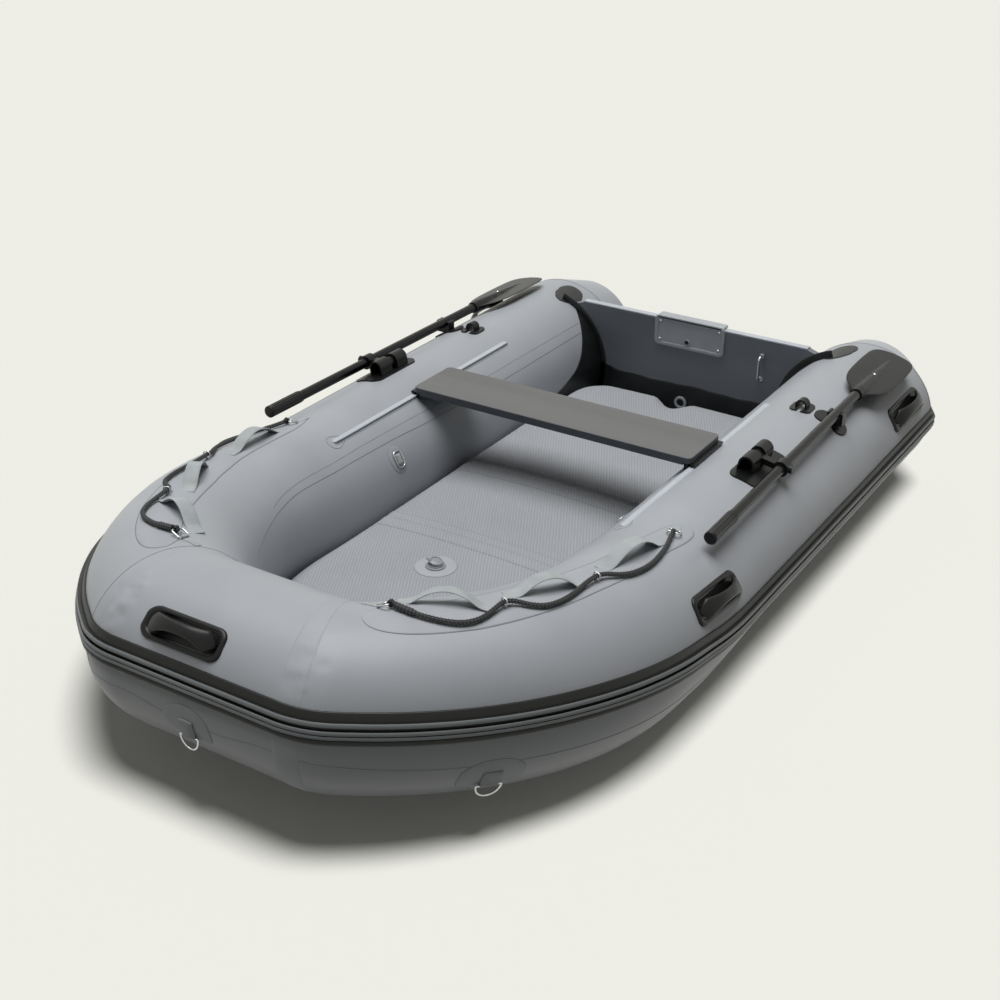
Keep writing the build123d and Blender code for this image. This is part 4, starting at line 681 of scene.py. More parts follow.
def hullPatch(name, first, second, height, material, side=1, columns=10, edge=0.003):
    # a glued patch between two edge paths with the same number of steps, its border rounded down
    count = 120
    ends = [np.stack([np.interp(np.linspace(0, 1, count), np.linspace(0, 1, len(part)), part[:, k])
                      for k in range(2)], -1) for part in (softened(first, 0.01, 5), softened(second, 0.01, 5))]
    width = np.abs(ends[1] - ends[0]) @ np.array([1, np.radians(1) * 0.21])
    thin = edge / max(width.mean(), 0.01)
    across = np.concatenate([[0, thin / 2, thin], np.linspace(thin, 1 - thin, columns)[1:-1], [1 - thin, 1 - thin / 2, 1]])
    length = np.abs(np.diff(ends[0], axis=0)) @ np.array([1, np.radians(1) * 0.21])
    slim = edge / length.sum()
    alongRows = np.concatenate([[0, slim / 2, slim], np.linspace(slim, 1 - slim, count - 4)[1:-1],
                                [1 - slim, 1 - slim / 2, 1]])
    sample = np.linspace(0, 1, count)
    ends = [np.stack([np.interp(alongRows, sample, part[:, k]) for k in range(2)], -1) for part in ends]
    local = ends[0][:, None] * (1 - across)[:, None] + ends[1][:, None] * across[:, None]
    inward = np.minimum.outer(np.minimum(alongRows, 1 - alongRows) / slim, np.minimum(across, 1 - across) / thin)
    lift = height * np.sqrt(np.clip(inward, 0, 1)) - 0.0008 * (inward <= 0)
    top = hullPoint(local[..., 0], local[..., 1], lift, side)
    bottom = hullPoint(local[..., 0], local[..., 1], -0.0016, side)
    points, faces = slab(top, bottom)
    return makePiece(name, points, faces, [material], sharp=60)


def roundedOutline(length, width, corner, count=25):
    # a rectangle with quarter-circle corners, as points round it
    turn = np.linspace(0, np.pi / 2, count)
    quarter = np.stack([np.cos(turn), np.sin(turn)], -1) * corner
    half = np.array([length / 2 - corner, width / 2 - corner])
    spin = [quarter + half, quarter[:, ::-1] * [-1, 1] + half * [-1, 1], -quarter - half,
            quarter[:, ::-1] * [1, -1] + half * [1, -1]]
    return np.concatenate(spin)


def outlineDisc(name, place, outline, rows, materials, sharp=40, body="hull", replaces=(), tones=None):
    # a pad: copies of its outline, each drawn in by so many metres and lifted, joined from top middle to bed
    outline = np.asarray(outline, float)
    size = np.abs(outline).max(0)
    points = []
    for inset, height in rows:
        scale = np.clip(1 - inset / size, 0.02, None)
        points.append(place(outline[:, 0] * scale[0], outline[:, 1] * scale[1], height))
    points = np.array(points)
    return makePiece(name, points, sweepFaces(len(rows), len(outline)), materials, body=body,
                     replaces=replaces, sharp=sharp, faceMaterial=tones)


# The dark lines along seams, tape edges and patch borders below are painted shade of the lapped cloth's edges.
lightCloth, seamShade = patchFabric["material"], seamShadeLook["material"]
lifelinePatch = {
    "outer": [(0.048, 84), (0.050, 80), (0.058, 75), (0.080, 70), (0.120, 67), (0.170, 66), (0.266, 66), (0.398, 69),
              (0.566, 73), (0.806, 73), (0.960, 70), (1.000, 71), (1.018, 74), (1.024, 78)],
    "inner": [(0.048, 84), (0.052, 88), (0.066, 92), (0.094, 95), (0.150, 96), (0.226, 98), (0.318, 101), (0.434, 103),
              (0.562, 101), (0.700, 97), (0.930, 90), (1.000, 86), (1.018, 82), (1.024, 78)], "height": 0.0012}
for name, side in sides:
    hullPatch("lifeline_patch_" + name, lifelinePatch["outer"], lifelinePatch["inner"], lifelinePatch["height"],
              lightCloth, side)
    outer, inner = lifelinePatch["outer"], lifelinePatch["inner"][::-1]
    hullStrip("lifeline_patch_edge_" + name, outer[6:] + inner[1:] + outer[1:7], 0.0016, 0.0008, seamShade, side,
              rounds=6, step=0.01)
    inner = [(0.30, 156), (0.40, 153), (0.474, 150.5), (0.574, 146), (0.710, 141), (0.958, 136.5), (1.182, 138),
             (1.282, 140), (1.70, 143), (2.18, 143)]
    hullStrip("inner_seam_" + name, inner, 0.0017, 0.0006, seamShade, side, rounds=60)
    upper = [(0.55, 142), (0.602, 139), (0.778, 133.5), (0.982, 130), (1.206, 131), (1.60, 134), (2.20, 135)]
    hullStrip("inner_tape_edge_" + name, upper, 0.0013, 0.0004, seamShade, side, rounds=60)
    under = [(0.0, -13), (0.074, -16), (0.150, -18), (0.226, -18), (0.60, -19), (1.2, -19), (2.38, -19)]
    hullStrip("under_seam_" + name, under, 0.0016, 0.0006, seamShade, side, rounds=20)
    ring = [(2.380, angle) for angle in np.arange(-150, 211, 6)]
    hullStrip("cone_seam_" + name, ring, 0.0018, 0.0006, seamShade, side, rounds=0)
    half = [(-cornerX, -18), (-0.150, -18), (-0.106, -15), (-0.066, -12), (0.0, -13)]
    hullStrip("bow_under_seam_" + name, half, 0.0016, 0.0006, seamShade, side, rounds=12)
# the corner joints: a soft tape over the port one, and the bare lapped edge of the starboard one, drawn as a dark line
# of painted shade
hullStrip("corner_tape", [(-0.025, angle) for angle in np.arange(-150, 211, 4)], 0.044, 0.0009, lightCloth, 1, rounds=0)
hullStrip("corner_seam", [(0.036, angle) for angle in np.arange(-150, 211, 4)], 0.0018, 0.0006, seamShade, -1, rounds=0)
print("seams and patches ready")

# ---- bottom cloth and air floor
bottom = {"stations": np.array([[bowY + 0.070, 0.180, 0.1497, 0.1467, 0.140], [bowY + 0.160, 0.290, 0.1277, 0.1247, 0.120],
                                [bowY + 0.290, 0.370, 0.1277, 0.1237, 0.084], [bowY + 0.460, 0.400, 0.1277, 0.110, 0.048],
                                [bowY + 0.826, 0.400, 0.1277, 0.066, 0.022], [1.0167, 0.400, 0.1277, 0.066, 0.022]])}


def makeBottom():
    # a shallow V between the tubes: height falls linearly from each side to the keel, with the keel rounded
    rows = np.concatenate([np.linspace(bowY + 0.070, bowY + 0.826, 60), np.linspace(bowY + 0.826, 1.0167, 40)[1:]])
    table = bottom["stations"]
    half, top, edge, keel = (np.interp(rows, table[:, 0], table[:, k])[:, None] for k in (1, 2, 3, 4))
    across = np.linspace(-1, 1, 81)
    bend = np.sqrt(across ** 2 + 0.0016)
    under = keel + (edge - keel) * bend
    x, y = half * across, np.broadcast_to(rows[:, None], (len(rows), 81))
    lower = np.stack([x, y, under], -1)
    upper = np.stack([x, y, np.broadcast_to(np.maximum(top, edge + 0.001), x.shape)], -1)
    points, faces = slab(upper, lower)
    makePiece("bottom_cloth", points, faces, [bottomFabric["material"]], replaces=["bottom_hull"])
    # the keel's rubbing tape, a narrow raised band along the V
    rows = rows[8:]
    half, top, edge, keel = (np.interp(rows, table[:, 0], table[:, k])[:, None] for k in (1, 2, 3, 4))
    band = np.linspace(-0.035, 0.035, 15)
    under = keel + (edge - keel) * np.sqrt((band / half) ** 2 + 0.0016)
    proud = 0.003 * np.clip((0.035 - np.abs(band)) / 0.004, 0, 1) - 0.0005
    x, y = np.broadcast_to(band, under.shape), np.broadcast_to(rows[:, None], under.shape)
    points, faces = slab(np.stack([x, y, under + 0.004], -1), np.stack([x, y, under - proud], -1))
    makePiece("keel_tape", points, faces, [blackRubber["material"]])


makeBottom()
deck = {"top": 0.223, "crown": 0.012, "crownHalf": 0.381, "bottom": 0.129, "front": bowY + 0.160, "rear": 1.003,
        "edgeRoll": 0.050, "noseRun": 0.165, "noseEnd": 0.150, "cornerRun": 0.055, "notch": 0.040, "drainX": -0.020,
        "seams": (-0.282, 0.108, 0.490), "seamDepth": 0.0024, "ridgeStart": 0.045, "ridgeEnd": 0.080,
        "ridgeHeight": 0.0042, "ridgeReach": 0.008, "stitchPitch": 0.0075, "stitchLength": 0.0052, "stitchWidth": 0.0012}


def wallOutline():
    # where the tubes' inner walls stand at the floor's height: x and y from the bow to the stern
    s = np.concatenate([np.linspace(-cornerX, 0, 60), np.linspace(0, 2.30, 400)[1:]])
    angle = np.linspace(150, 250, 201)
    wall = hullPoint(s[:, None], angle[None])
    low = wall[..., 2] < deck["top"] - 0.008
    first = low.argmax(1)
    return wall[np.arange(len(s)), first, 0], wall[np.arange(len(s)), first, 1]


wallX, wallY = wallOutline()
wallFront = wallY[:40].mean()


def deckHeight(x, y):
    # crown across, a roll down at every wall, sewn seams with a soft ridge behind them, and the nose's fall
    half = np.interp(y, wallY[60:], wallX[60:])
    gap = np.minimum(half - np.abs(x), (y - wallFront) * 1.0)
    roll = np.clip(1 - gap / deck["edgeRoll"], 0, 1)
    crown = deck["crown"] * (1 - smoothStep(y, 0.55, 0.93))
    z = deck["top"] + crown - (crown + 0.006) * (x / deck["crownHalf"]) ** 2
    z = z - deck["edgeRoll"] * (1 - np.sqrt(1 - roll ** 2))
    for seam in deck["seams"]:
        z = z - deck["seamDepth"] * np.exp(-((y - seam) / 0.004) ** 2)
        for place in (deck["ridgeStart"], deck["ridgeEnd"]):
            z = z + deck["ridgeHeight"] * np.exp(-((y - seam - place) / deck["ridgeReach"]) ** 2) * (1 - roll)
    fall = deck["top"] - deck["noseEnd"]
    bend = (deck["noseRun"] ** 2 + fall ** 2) / (2 * fall)
    early = deck["cornerRun"] * smoothStep(np.abs(x) / half, 0.72, 1.0)
    past = np.clip(y + early - (deck["rear"] - deck["noseRun"]), 0, deck["noseRun"])
    z = z - (bend - np.sqrt(bend ** 2 - past ** 2))
    hollow = np.hypot(x - deck["drainX"] - 0.24 * (deck["rear"] - y), (y - deck["rear"] - 0.006) * 0.36)
    z = z - 0.058 * smoothStep(deck["notch"] + 0.040 - hollow, 0.0, 0.080)
    return np.maximum(z, deck["bottom"] + 0.002)


def makeDeck():
    rows = np.concatenate([np.linspace(wallFront - 0.03, wallFront + 0.03, 14), np.linspace(wallFront + 0.03, -0.30, 60)[1:]])
    for seam, nextSeam in zip(deck["seams"], (*deck["seams"][1:], deck["rear"] - deck["noseRun"])):
        rows = np.concatenate([rows, np.linspace(seam - 0.012, seam + 0.012, 17), np.linspace(seam + 0.016, seam + 0.10, 34),
                               np.linspace(seam + 0.10, nextSeam - 0.014, 20)[1:]])
    rows = np.concatenate([rows, np.linspace(deck["rear"] - deck["noseRun"], deck["rear"], 36)])
    rows = np.unique(np.round(rows, 5))
    half = np.interp(rows, wallY[60:], wallX[60:]) + 0.012
    across = np.concatenate([np.linspace(-1, -0.9, 12)[:-1], np.linspace(-0.9, 0.9, 121), np.linspace(0.9, 1, 12)[1:]])
    x = half[:, None] * across
    y = np.broadcast_to(rows[:, None], x.shape)
    top = np.stack([x, y, deckHeight(x, y)], -1)
    bottomFace = np.stack([x, y, np.full_like(x, deck["bottom"])], -1)
    points, faces = slab(top, bottomFace)
    makePiece("deck_skin", points, faces, [deckFabric["material"]], replaces=["air_deck"], sharp=50)


def makeStitches():
    # each stitch is a small rounded bar lying in its seam: a unit bar repeated at every place
    turn = np.linspace(0, 2 * np.pi, 6, endpoint=False)
    ends = np.array([-1, -0.7, 0.7, 1])
    girth = np.array([0.3, 1, 1, 0.3])
    bar = np.stack([np.broadcast_to(ends[:, None], (4, 6)) * deck["stitchLength"] / 2,
                    girth[:, None] * np.cos(turn) * deck["stitchWidth"] / 2,
                    girth[:, None] * np.sin(turn) * deck["stitchWidth"] / 2], -1).reshape(-1, 3)
    barFaces = sweepFaces(4, 6)
    places = []
    for seam in deck["seams"]:
        half = np.interp(seam, wallY[60:], wallX[60:]) - 0.006
        x = np.arange(-half, half, deck["stitchPitch"])
        places.append(np.stack([x, 0 * x + seam, deckHeight(x, 0 * x + seam) + 0.0004], -1))
    places = np.concatenate(places)
    points = (places[:, None] + bar).reshape(-1, 3)
    faces = [(np.arange(len(places)) * len(bar))[:, None, None] + face.reshape(-1, face.shape[-1]) for face in barFaces]
    makePiece("deck_stitches", points, [face.reshape(-1, face.shape[-1]) for face in faces],
              [thread["material"]])


makeDeck()
makeStitches()
print("bottom and floor ready")

# ---- transom's sealing rubber
transom = {"face": 1.0167, "bandTop": 0.224, "bandFoot": 0.130, "thick": 0.0022, "bandHalf": 0.352}
flangeFore = [(2.262, 112), (2.258, 117), (2.210, 134), (2.170, 148), (2.126, 161), (2.074, 170), (1.994, 176), (1.90, 181), (1.82, 192), (1.80, 202)]
flangeAft = [(2.262, 112), (2.262, 117), (2.2425, 134), (2.2425, 148), (2.2425, 161), (2.2425, 170), (2.2425, 176), (2.2425, 181), (2.2425, 192), (2.2425, 202)]
lobeOutline = [(2.222, 108), (2.232, 103), (2.254, 99), (2.290, 96), (2.322, 95), (2.340, 97), (2.350, 100), (2.351, 106),
               (2.346, 111), (2.335, 115), (2.322, 117), (2.290, 119), (2.258, 118), (2.235, 114)]


def makeFlange(name, side):
    hullPatch("transom_band_" + name, flangeFore, flangeAft, 0.0022, sealRubber["material"], side)
    middle = np.array([2.290, 107.0])
    place = sideMap(*middle, side)
    turn = np.linspace(0, 2 * np.pi, 97)[:-1]
    outline = np.array(lobeOutline) - middle
    local = np.stack([outline[:, 0], np.radians(outline[:, 1]) * hull["tubeRadius"]], -1)
    bearing = np.unwrap(np.arctan2(local[:, 1], local[:, 0]))
    order = np.argsort(bearing % (2 * np.pi))
    reach = np.interp(turn, (bearing % (2 * np.pi))[order], np.hypot(*local.T)[order], period=2 * np.pi)
    for k in range(3):
        reach = (np.roll(reach, 1) + 2 * reach + np.roll(reach, -1)) / 4
    outline = np.stack([np.cos(turn), np.sin(turn)], -1) * reach[:, None]
    rows = [(0.2, 0.0024), (0.045, 0.0024), (0.03, 0.0024), (0.015, 0.0024), (0.004, 0.0024), (0.0012, 0.0018), (0.0, 0.0),
            (0.0, -0.0012), (0.03, -0.0012), (0.2, -0.0012)]
    outlineDisc("transom_lobe_" + name, place, outline, rows, [sealRubber["material"]],
                replaces=["transom_flange_" + name])
    # the foot on the board: a flat ring sector round the tube's centre
    angle = np.radians(np.linspace(108, 205, 60))
    reach = hull["tubeRadius"] + np.array([-0.004, 0.0, 0.010, 0.019, 0.0205, 0.022])
    depth = np.array([0.0022, 0.0022, 0.0022, 0.0022, 0.0016, 0.0])
    x = (tubeX + np.cos(angle)[:, None] * reach) * side
    z = hull["tubeRadius"] + np.sin(angle)[:, None] * reach
    top = np.stack([x, np.broadcast_to(transom["face"] - depth, x.shape), z], -1)
    back = np.stack([x, np.full_like(x, transom["face"] + 0.0008), z], -1)
    points, faces = slab(top, back)
    makePiece("transom_foot_" + name, points, faces, [sealRubber["material"]])


def makeBoardBand():
    # the strip that seals the floor end of the board: its top edge waves by a few millimetres and lifts at the sides
    x = np.linspace(-1, 1, 90) * transom["bandHalf"]
    rise = 0.018 * smoothStep(np.abs(x), 0.25, 0.32)
    edge = transom["bandTop"] + rise + 0.002 * np.sin(23 * x + 1) + 0.001 * np.sin(61 * x)
    share = np.array([0, 0.3, 0.6, 0.9, 0.975, 0.992, 1.0])
    z = transom["bandFoot"] + (edge[:, None] - transom["bandFoot"]) * share
    depth = transom["thick"] * np.array([1, 1, 1, 1, 1, 0.7, 0])
    wide = np.broadcast_to(x[:, None], z.shape)
    top = np.stack([wide, np.broadcast_to(transom["face"] - depth, z.shape), z], -1)
    back = np.stack([wide, np.full_like(z, transom["face"] + 0.0008), z], -1)
    points, faces = slab(top, back)
    makePiece("transom_board_band", points, faces, [sealRubber["material"]])


for name, side in sides:
    makeFlange(name, side)
makeBoardBand()
print("transom seals ready")

# ---- carry handles
handle = {"length": 0.236, "width": 0.074, "corner": 0.024, "gripEnd": 0.022, "gripRise": 0.027, "gripBase": 0.0075,
          "gripHalf": 0.0112, "gripFlare": 0.0165, "gripThick": 0.0066, "gripLift": 0.002}


def makeHandle(name, place, node, length):
    # a pad with a raised rim round a finger hollow, and a grip swept over it as an arch whose ends spread into lobes
    outline = roundedOutline(length, handle["width"], handle["corner"])
    rows = [(0.034, 0.0012), (0.030, 0.0012), (0.016, 0.0014), (0.0130, 0.0022), (0.0115, 0.0052), (0.0100, 0.0064),
            (0.0070, 0.0068), (0.0036, 0.0064), (0.0014, 0.0050), (0.0, 0.0022), (0.0, -0.0012), (0.034, -0.0012)]
    pad = outlineDisc("handle_pad_" + name, place, outline, rows, [mouldedNylon["material"]],
                      replaces=[node], sharp=55)
    t = np.linspace(-1, 1, 73)
    reach = length / 2 - handle["gripEnd"]
    arch = 1 - np.abs(t) ** 2.6
    rise = handle["gripBase"] + handle["gripRise"] * arch - 0.012 * (1 - arch) ** 8
    slope = np.gradient(rise, t * reach)
    lean = np.arctan(slope)
    turn = np.linspace(0, 2 * np.pi, 32, endpoint=False)
    flare = handle["gripHalf"] + handle["gripFlare"] * np.abs(t) ** 2.7
    flare = flare * np.sqrt(np.clip((1.0 - np.abs(t)) / 0.16, 0.05, 1))
    thick = handle["gripThick"] + 0.003 * np.abs(t) ** 4
    across = np.sign(np.cos(turn)) * np.abs(np.cos(turn)) ** 0.7
    above = np.sign(np.sin(turn)) * np.abs(np.sin(turn)) ** 0.8
    middle = handle["gripLift"] * arch - 0.003 * (1 - arch)
    u = (t * reach)[:, None] - np.sin(lean)[:, None] * above * thick[:, None]
    h = rise[:, None] + np.cos(lean)[:, None] * above * thick[:, None]
    v = middle[:, None] + flare[:, None] * across
    grip = makePiece("handle_grip_" + name, place(u, v, h), sweepFaces(len(t), len(turn)),
                     [mouldedNylon["material"]], sharp=60)
    return pad, grip


for name, side in sides:
    for end, setback in (("fore", 1.670), ("aft", 0.355)):
        makeHandle(name + "_" + end, sideMap(placeAlong(1.325 - setback), 32, side), f"carry_handle_{name}_{end}",
                   handle["length"])
makeHandle("bow", bowMap(-0.048, 37.0), "carry_handle_bow", 0.194)
print("handles ready")

# ---- webbing grab loops
loops = {"rise": 0.035, "width": 0.036, "thick": 0.0022, "foot": 0.030,
         "places": (((0.158, 103), (0.292, 84)), ((0.392, 91), (0.528, 84)), ((0.662, 88), (0.838, 83)))}


def makeLoop(name, start, end, side):
    # a flat strap: down on the tube, up in an arc of half a circle's shape flattened, and down again
    first, last = tubePoint(*start), tubePoint(*end)
    up = unit(tubeAway(*start) + tubeAway(*end))
    chord = last - first
    length = np.linalg.norm(chord)
    forward = chord / length
    sideways = unit(np.cross(forward, up))
    up = np.cross(sideways, forward)
    t = np.linspace(0, 1, 65)
    arc = np.sin(np.pi * t) ** 0.85
    arc = arc * loops["rise"]
    line = first + forward * (t * length)[:, None] + up * arc[:, None]
    feet = []
    for point, heading in ((start, -1), (end, 1)):
        away = unit(tubeAway(*point))
        flatHeading = unit(forward * heading - away * (forward * heading @ away))
        reach = np.linspace(loops["foot"], 0.002, 8)
        feet.append(tubePoint(*point) + flatHeading * reach[:, None] + away * (0.0016 - reach[:, None] ** 2 / 0.44))
    line = np.concatenate([feet[0], line[2:-2], feet[1][::-1]])
    for k in range(6):
        line[1:-1] = (line[:-2] + 2 * line[1:-1] + line[2:]) / 4
    line, along = evenly(line, 90)
    tangent = unit(np.gradient(line, axis=0))
    normal = unit(np.cross(sideways, tangent))
    normal = np.where((normal @ up)[:, None] < 0, -normal, normal)
    cross = np.cross(tangent, normal)
    spread = np.array([-1, -0.96, -0.5, 0, 0.5, 0.96, 1]) * loops["width"] / 2
    thick = np.array([0.3, 1, 1, 1, 1, 1, 0.3]) * loops["thick"] / 2
    base = line[:, None] + cross[:, None] * spread[:, None]
    top = base + normal[:, None] * thick[:, None]
    low = base - normal[:, None] * thick[:, None]
    points, faces = slab(top * np.array([side, 1, 1]), low * np.array([side, 1, 1]))
    return makePiece(name, points, faces, [webbing["material"]], sharp=60)


for name, side in sides:
    made = [makeLoop(f"grab_loop_{name}_{k}", *ends, side) for k, ends in enumerate(loops["places"])]
    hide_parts("grab_loops_" + name)
print("grab loops ready")

# ---- oars: fluted grips and leaf-shaped blades
oar = {"start": (0.65729, 0.188, 0.44761), "toeIn": 1.0, "gripEnd": -0.44707, "gripLength": 0.135, "gripRadius": 0.017,
       "flutes": 14, "fluteDepth": 0.0012, "bladeStart": 0.55093, "plate": 0.0024, "roll": 13.0, "button": 0.150,
       "buttonRadius": 0.0042}
# Along the blade from its socket and half its width, in millimetres; then the ridge's half width and half height.
bladeOutline = np.array([(0, 18), (12, 18), (22, 21), (32, 29), (42, 38), (54, 48), (70, 57), (90, 64), (118, 69),
                         (150, 71), (210, 72), (265, 71), (300, 69), (320, 65), (334, 59), (344, 48), (350, 33),
                         (352, 15), (352.3, 0.6)]) / 1000
bladeRidge = np.array([(0, 18, 18), (30, 18, 18), (70, 16.5, 16), (120, 15, 13), (200, 10.5, 8.5), (285, 4.5, 2.2),
                       (300, 3, 0), (353, 3, 0)]) / 1000


def oarPoint(along, across, above, side, roll=0.0):
    # along the oar, across it to the outboard side and upwards; a roll drops the outboard edge
    toe, roll = np.radians(oar["toeIn"]), np.radians(roll)
    forward = np.array([-np.sin(toe), np.cos(toe), 0])
    outward = np.array([np.cos(toe), np.sin(toe), 0])
    edge = outward * np.cos(roll) - np.array([0, 0, 1]) * np.sin(roll)
    top = np.array([0, 0, 1]) * np.cos(roll) + outward * np.sin(roll)
    along, across, above = np.broadcast_arrays(along, across, above)
    point = np.array(oar["start"]) + along[..., None] * forward + across[..., None] * edge + above[..., None] * top
    return point * np.array([side, 1, 1])


def makeBlade(name, side):
    # a thin plate of leaf outline with a ridge: half thickness is the root of the plate's square plus the ridge's
    rows = np.unique(np.concatenate([np.linspace(0, 0.06, 16), np.linspace(0.06, 0.30, 34), np.linspace(0.30, 0.3523, 30)]))
    half = np.interp(rows, *bladeOutline.T)
    for k in range(3):
        half[1:-1] = (half[:-2] + 2 * half[1:-1] + half[2:]) / 4
    ridgeHalf, ridgeHeight = (np.interp(rows, bladeRidge[:, 0], bladeRidge[:, k])[:, None] for k in (1, 2))
    turn = np.linspace(0, 2 * np.pi, 112, endpoint=False)
    spread = np.sign(np.cos(turn)) * np.abs(np.cos(turn)) ** 1.5
    across = half[:, None] * spread
    ellipse = ridgeHeight * np.sqrt(np.clip(1 - (across / ridgeHalf) ** 2, 0, 1))
    plate = oar["plate"] * np.sqrt(np.clip(1 - np.abs(spread) ** 9, 0, 1)) * np.clip(rows[:, None] / 0.03, 0, 1)
    thick = np.sqrt(ellipse ** 2 + plate ** 2) * np.where(np.sin(turn) < 0, -1, 1)
    points = oarPoint(oar["bladeStart"] + rows[:, None], across, thick, side, oar["roll"])
    blade = makePiece("blade_" + name, points, sweepFaces(len(rows), len(turn)), [mouldedNylon["material"]],
                      body="oar_" + name, replaces=["oar_blade_" + name], sharp=50)
    rise = float(np.interp(oar["button"], bladeRidge[:, 0], bladeRidge[:, 2]))
    place = lambda u, v, h: oarPoint(oar["bladeStart"] + oar["button"] + u, v, rise + h, side, oar["roll"])
    outline = np.stack([np.cos(turn), np.sin(turn)], -1) * oar["buttonRadius"]
    rows = [(0.0040, 0.0022), (0.0026, 0.0019), (0.0012, 0.0012), (0.0, 0.0), (0.0, -0.002), (0.004, -0.002)]
    outlineDisc("blade_button_" + name, place, outline, rows, [stainlessWire["material"]], body="oar_" + name)
    return blade


def makeGrip(name, side):
    # a fluted cylinder, its flutes fading out at a plain band near each end, with a rounded end and a thin lip
    rows = np.array([0, 0, 0.0006, 0.002, 0.0035, 0.008, 0.012, 0.018, 0.04, 0.07, 0.10, 0.113, 0.119, 0.124, 0.128,
                     0.1285, 0.1345, 0.135])
    size = np.array([0.3, 0.80, 0.90, 0.97, 1, 1, 1, 1, 1, 1, 1, 1, 1, 1, 1, 0.93, 0.93, 0.86])
    flute = np.interp(rows, [0.008, 0.018, 0.113, 0.122], [0, 1, 1, 0])
    turn = np.linspace(0, 2 * np.pi, 168, endpoint=False)
    cut = oar["fluteDepth"] * (0.5 - 0.5 * np.cos(oar["flutes"] * turn)) ** 0.7
    reach = oar["gripRadius"] * size[:, None] - flute[:, None] * cut
    points = oarPoint(oar["gripEnd"] + rows[:, None], reach * np.cos(turn), reach * np.sin(turn), side)
    return makePiece("grip_" + name, points, sweepFaces(len(rows), len(turn)), [mouldedNylon["material"]],
                     body="oar_" + name, replaces=["oar_grip_" + name], sharp=40)


for name, side in sides:
    makeBlade(name, side)
    makeGrip(name, side)
print("blades and grips ready")

# ---- rings, their straps and patches
rings = {"towWire": 0.0030, "towHalf": 0.024, "towDrop": 0.030, "strapHalf": 0.0175, "strapThick": 0.0020}


def wireLoop(name, place, path, wire, body="hull", replaces=(), roundness=10):
    # a closed bent wire: its path in a local plane is eased at the corners, and a circle is carried round it
    line = np.asarray(path, float)
    line = np.concatenate([line, line[:1]])
    line = evenly(line, 97)[0][:-1]
    for k in range(roundness):
        line = (np.roll(line, 1, 0) + 2 * line + np.roll(line, -1, 0)) / 4
    line = place(*line.T)
    centre = line.mean(0)
    tangent = unit(np.roll(line, -1, 0) - np.roll(line, 1, 0))
    outward = unit(line - centre)
    outward = unit(outward - tangent * (outward * tangent).sum(-1, keepdims=True))
    third = np.cross(tangent, outward)
    turn = np.linspace(0, 2 * np.pi, 14, endpoint=False)
    points = line[:, None] + wire / 2 * (outward[:, None] * np.cos(turn)[:, None] + third[:, None] * np.sin(turn)[:, None])
    return makePiece(name, points, [gridFaces(len(line), len(turn), True, True)], [stainlessWire["material"]],
                     body=body, replaces=replaces)


def makePatch(name, place, outline, height=0.0014, material=None):
    # a glued patch with an eased border, and round it a thin dark line, painted shade of its edge
    outline = np.asarray(outline, float)
    rows = [(0.05, height), (0.03, height), (0.012, height), (0.002, height), (0.0007, height * 0.7), (0.0, 0.0),
            (0.0, -0.001), (0.03, -0.001), (0.05, -0.001)]
    patch = outlineDisc("patch_" + name, place, outline, rows, [(material or patchFabric)["material"]])
    rows = [(0.0015, -0.0004), (0.0015, 0.0008), (-0.0002, 0.0008), (-0.0008, -0.0004)]
    size = np.abs(outline).max(0)
    points = np.array([place(*(outline * (1 - inset / size)).T, lift) for inset, lift in rows])
    makePiece("patch_edge_" + name, points, [gridFaces(len(rows), len(outline), True, True)], [seamShade])
    return patch


def makeTowRing(name, place, replaces=()):
    # a dome-topped patch, a doubled webbing strap down its middle, and a half-round ring hanging from the strap
    turn = np.linspace(0, np.pi, 33)
    outline = np.concatenate([np.stack([0.060 * np.cos(turn), 0.045 * np.sin(turn)], -1),
                              [(-0.062, -0.02), (-0.058, -0.04), (-0.04, -0.045), (0, -0.046), (0.04, -0.045), (0.058, -0.04),
                               (0.062, -0.02)]])
    outline = evenly(np.concatenate([outline, outline[:1]]), 121)[0][:-1]
    makePatch("tow_" + name, place, outline)
    v = -0.020 + np.array([0.026, 0.0255, 0.018, 0.0, -0.010, -0.016, -0.0195, -0.021, -0.021, -0.019, -0.014, 0.0, 0.010])
    lift = np.array([0.0016, 0.0034, 0.0040, 0.0042, 0.0060, 0.0085, 0.0090, 0.0070, 0.0045, 0.0022, 0.0016, 0.0014, 0.0012])
    across = np.array([-1, -0.97, 0, 0.97, 1]) * rings["strapHalf"]
    thin = np.array([0.3, 1, 1, 1, 0.3]) * rings["strapThick"] / 2
    slope = unit(np.stack([np.gradient(v), np.gradient(lift)], -1))
    normal = np.stack([slope[:, 1], -slope[:, 0]], -1)
    top, low = (place(np.broadcast_to(across, (len(v), 5)), v[:, None] + sign * normal[:, :1] * thin,
                      lift[:, None] + sign * normal[:, 1:] * thin) for sign in (1, -1))
    points, faces = slab(top, low)
    makePiece("tow_strap_" + name, points, faces, [webbing["material"]], sharp=60)
    half, drop = rings["towHalf"], rings["towDrop"]
    bend = np.linspace(0, -np.pi, 25)
    path = np.stack([half * np.cos(bend), -0.037 + drop * np.sin(bend), 0.0070 - 0.012 * np.sin(bend)], -1)
    return wireLoop("tow_ring_" + name, place, path, 2 * rings["towWire"] * 0.8, replaces=replaces, roundness=2)


makeTowRing("bow", bowMap(-0.020, -18.0), ["tow_rings", "tow_ring_straps"])
for name, side in sides:
    makeTowRing(name, sideMap(0.272, -27.0, side))


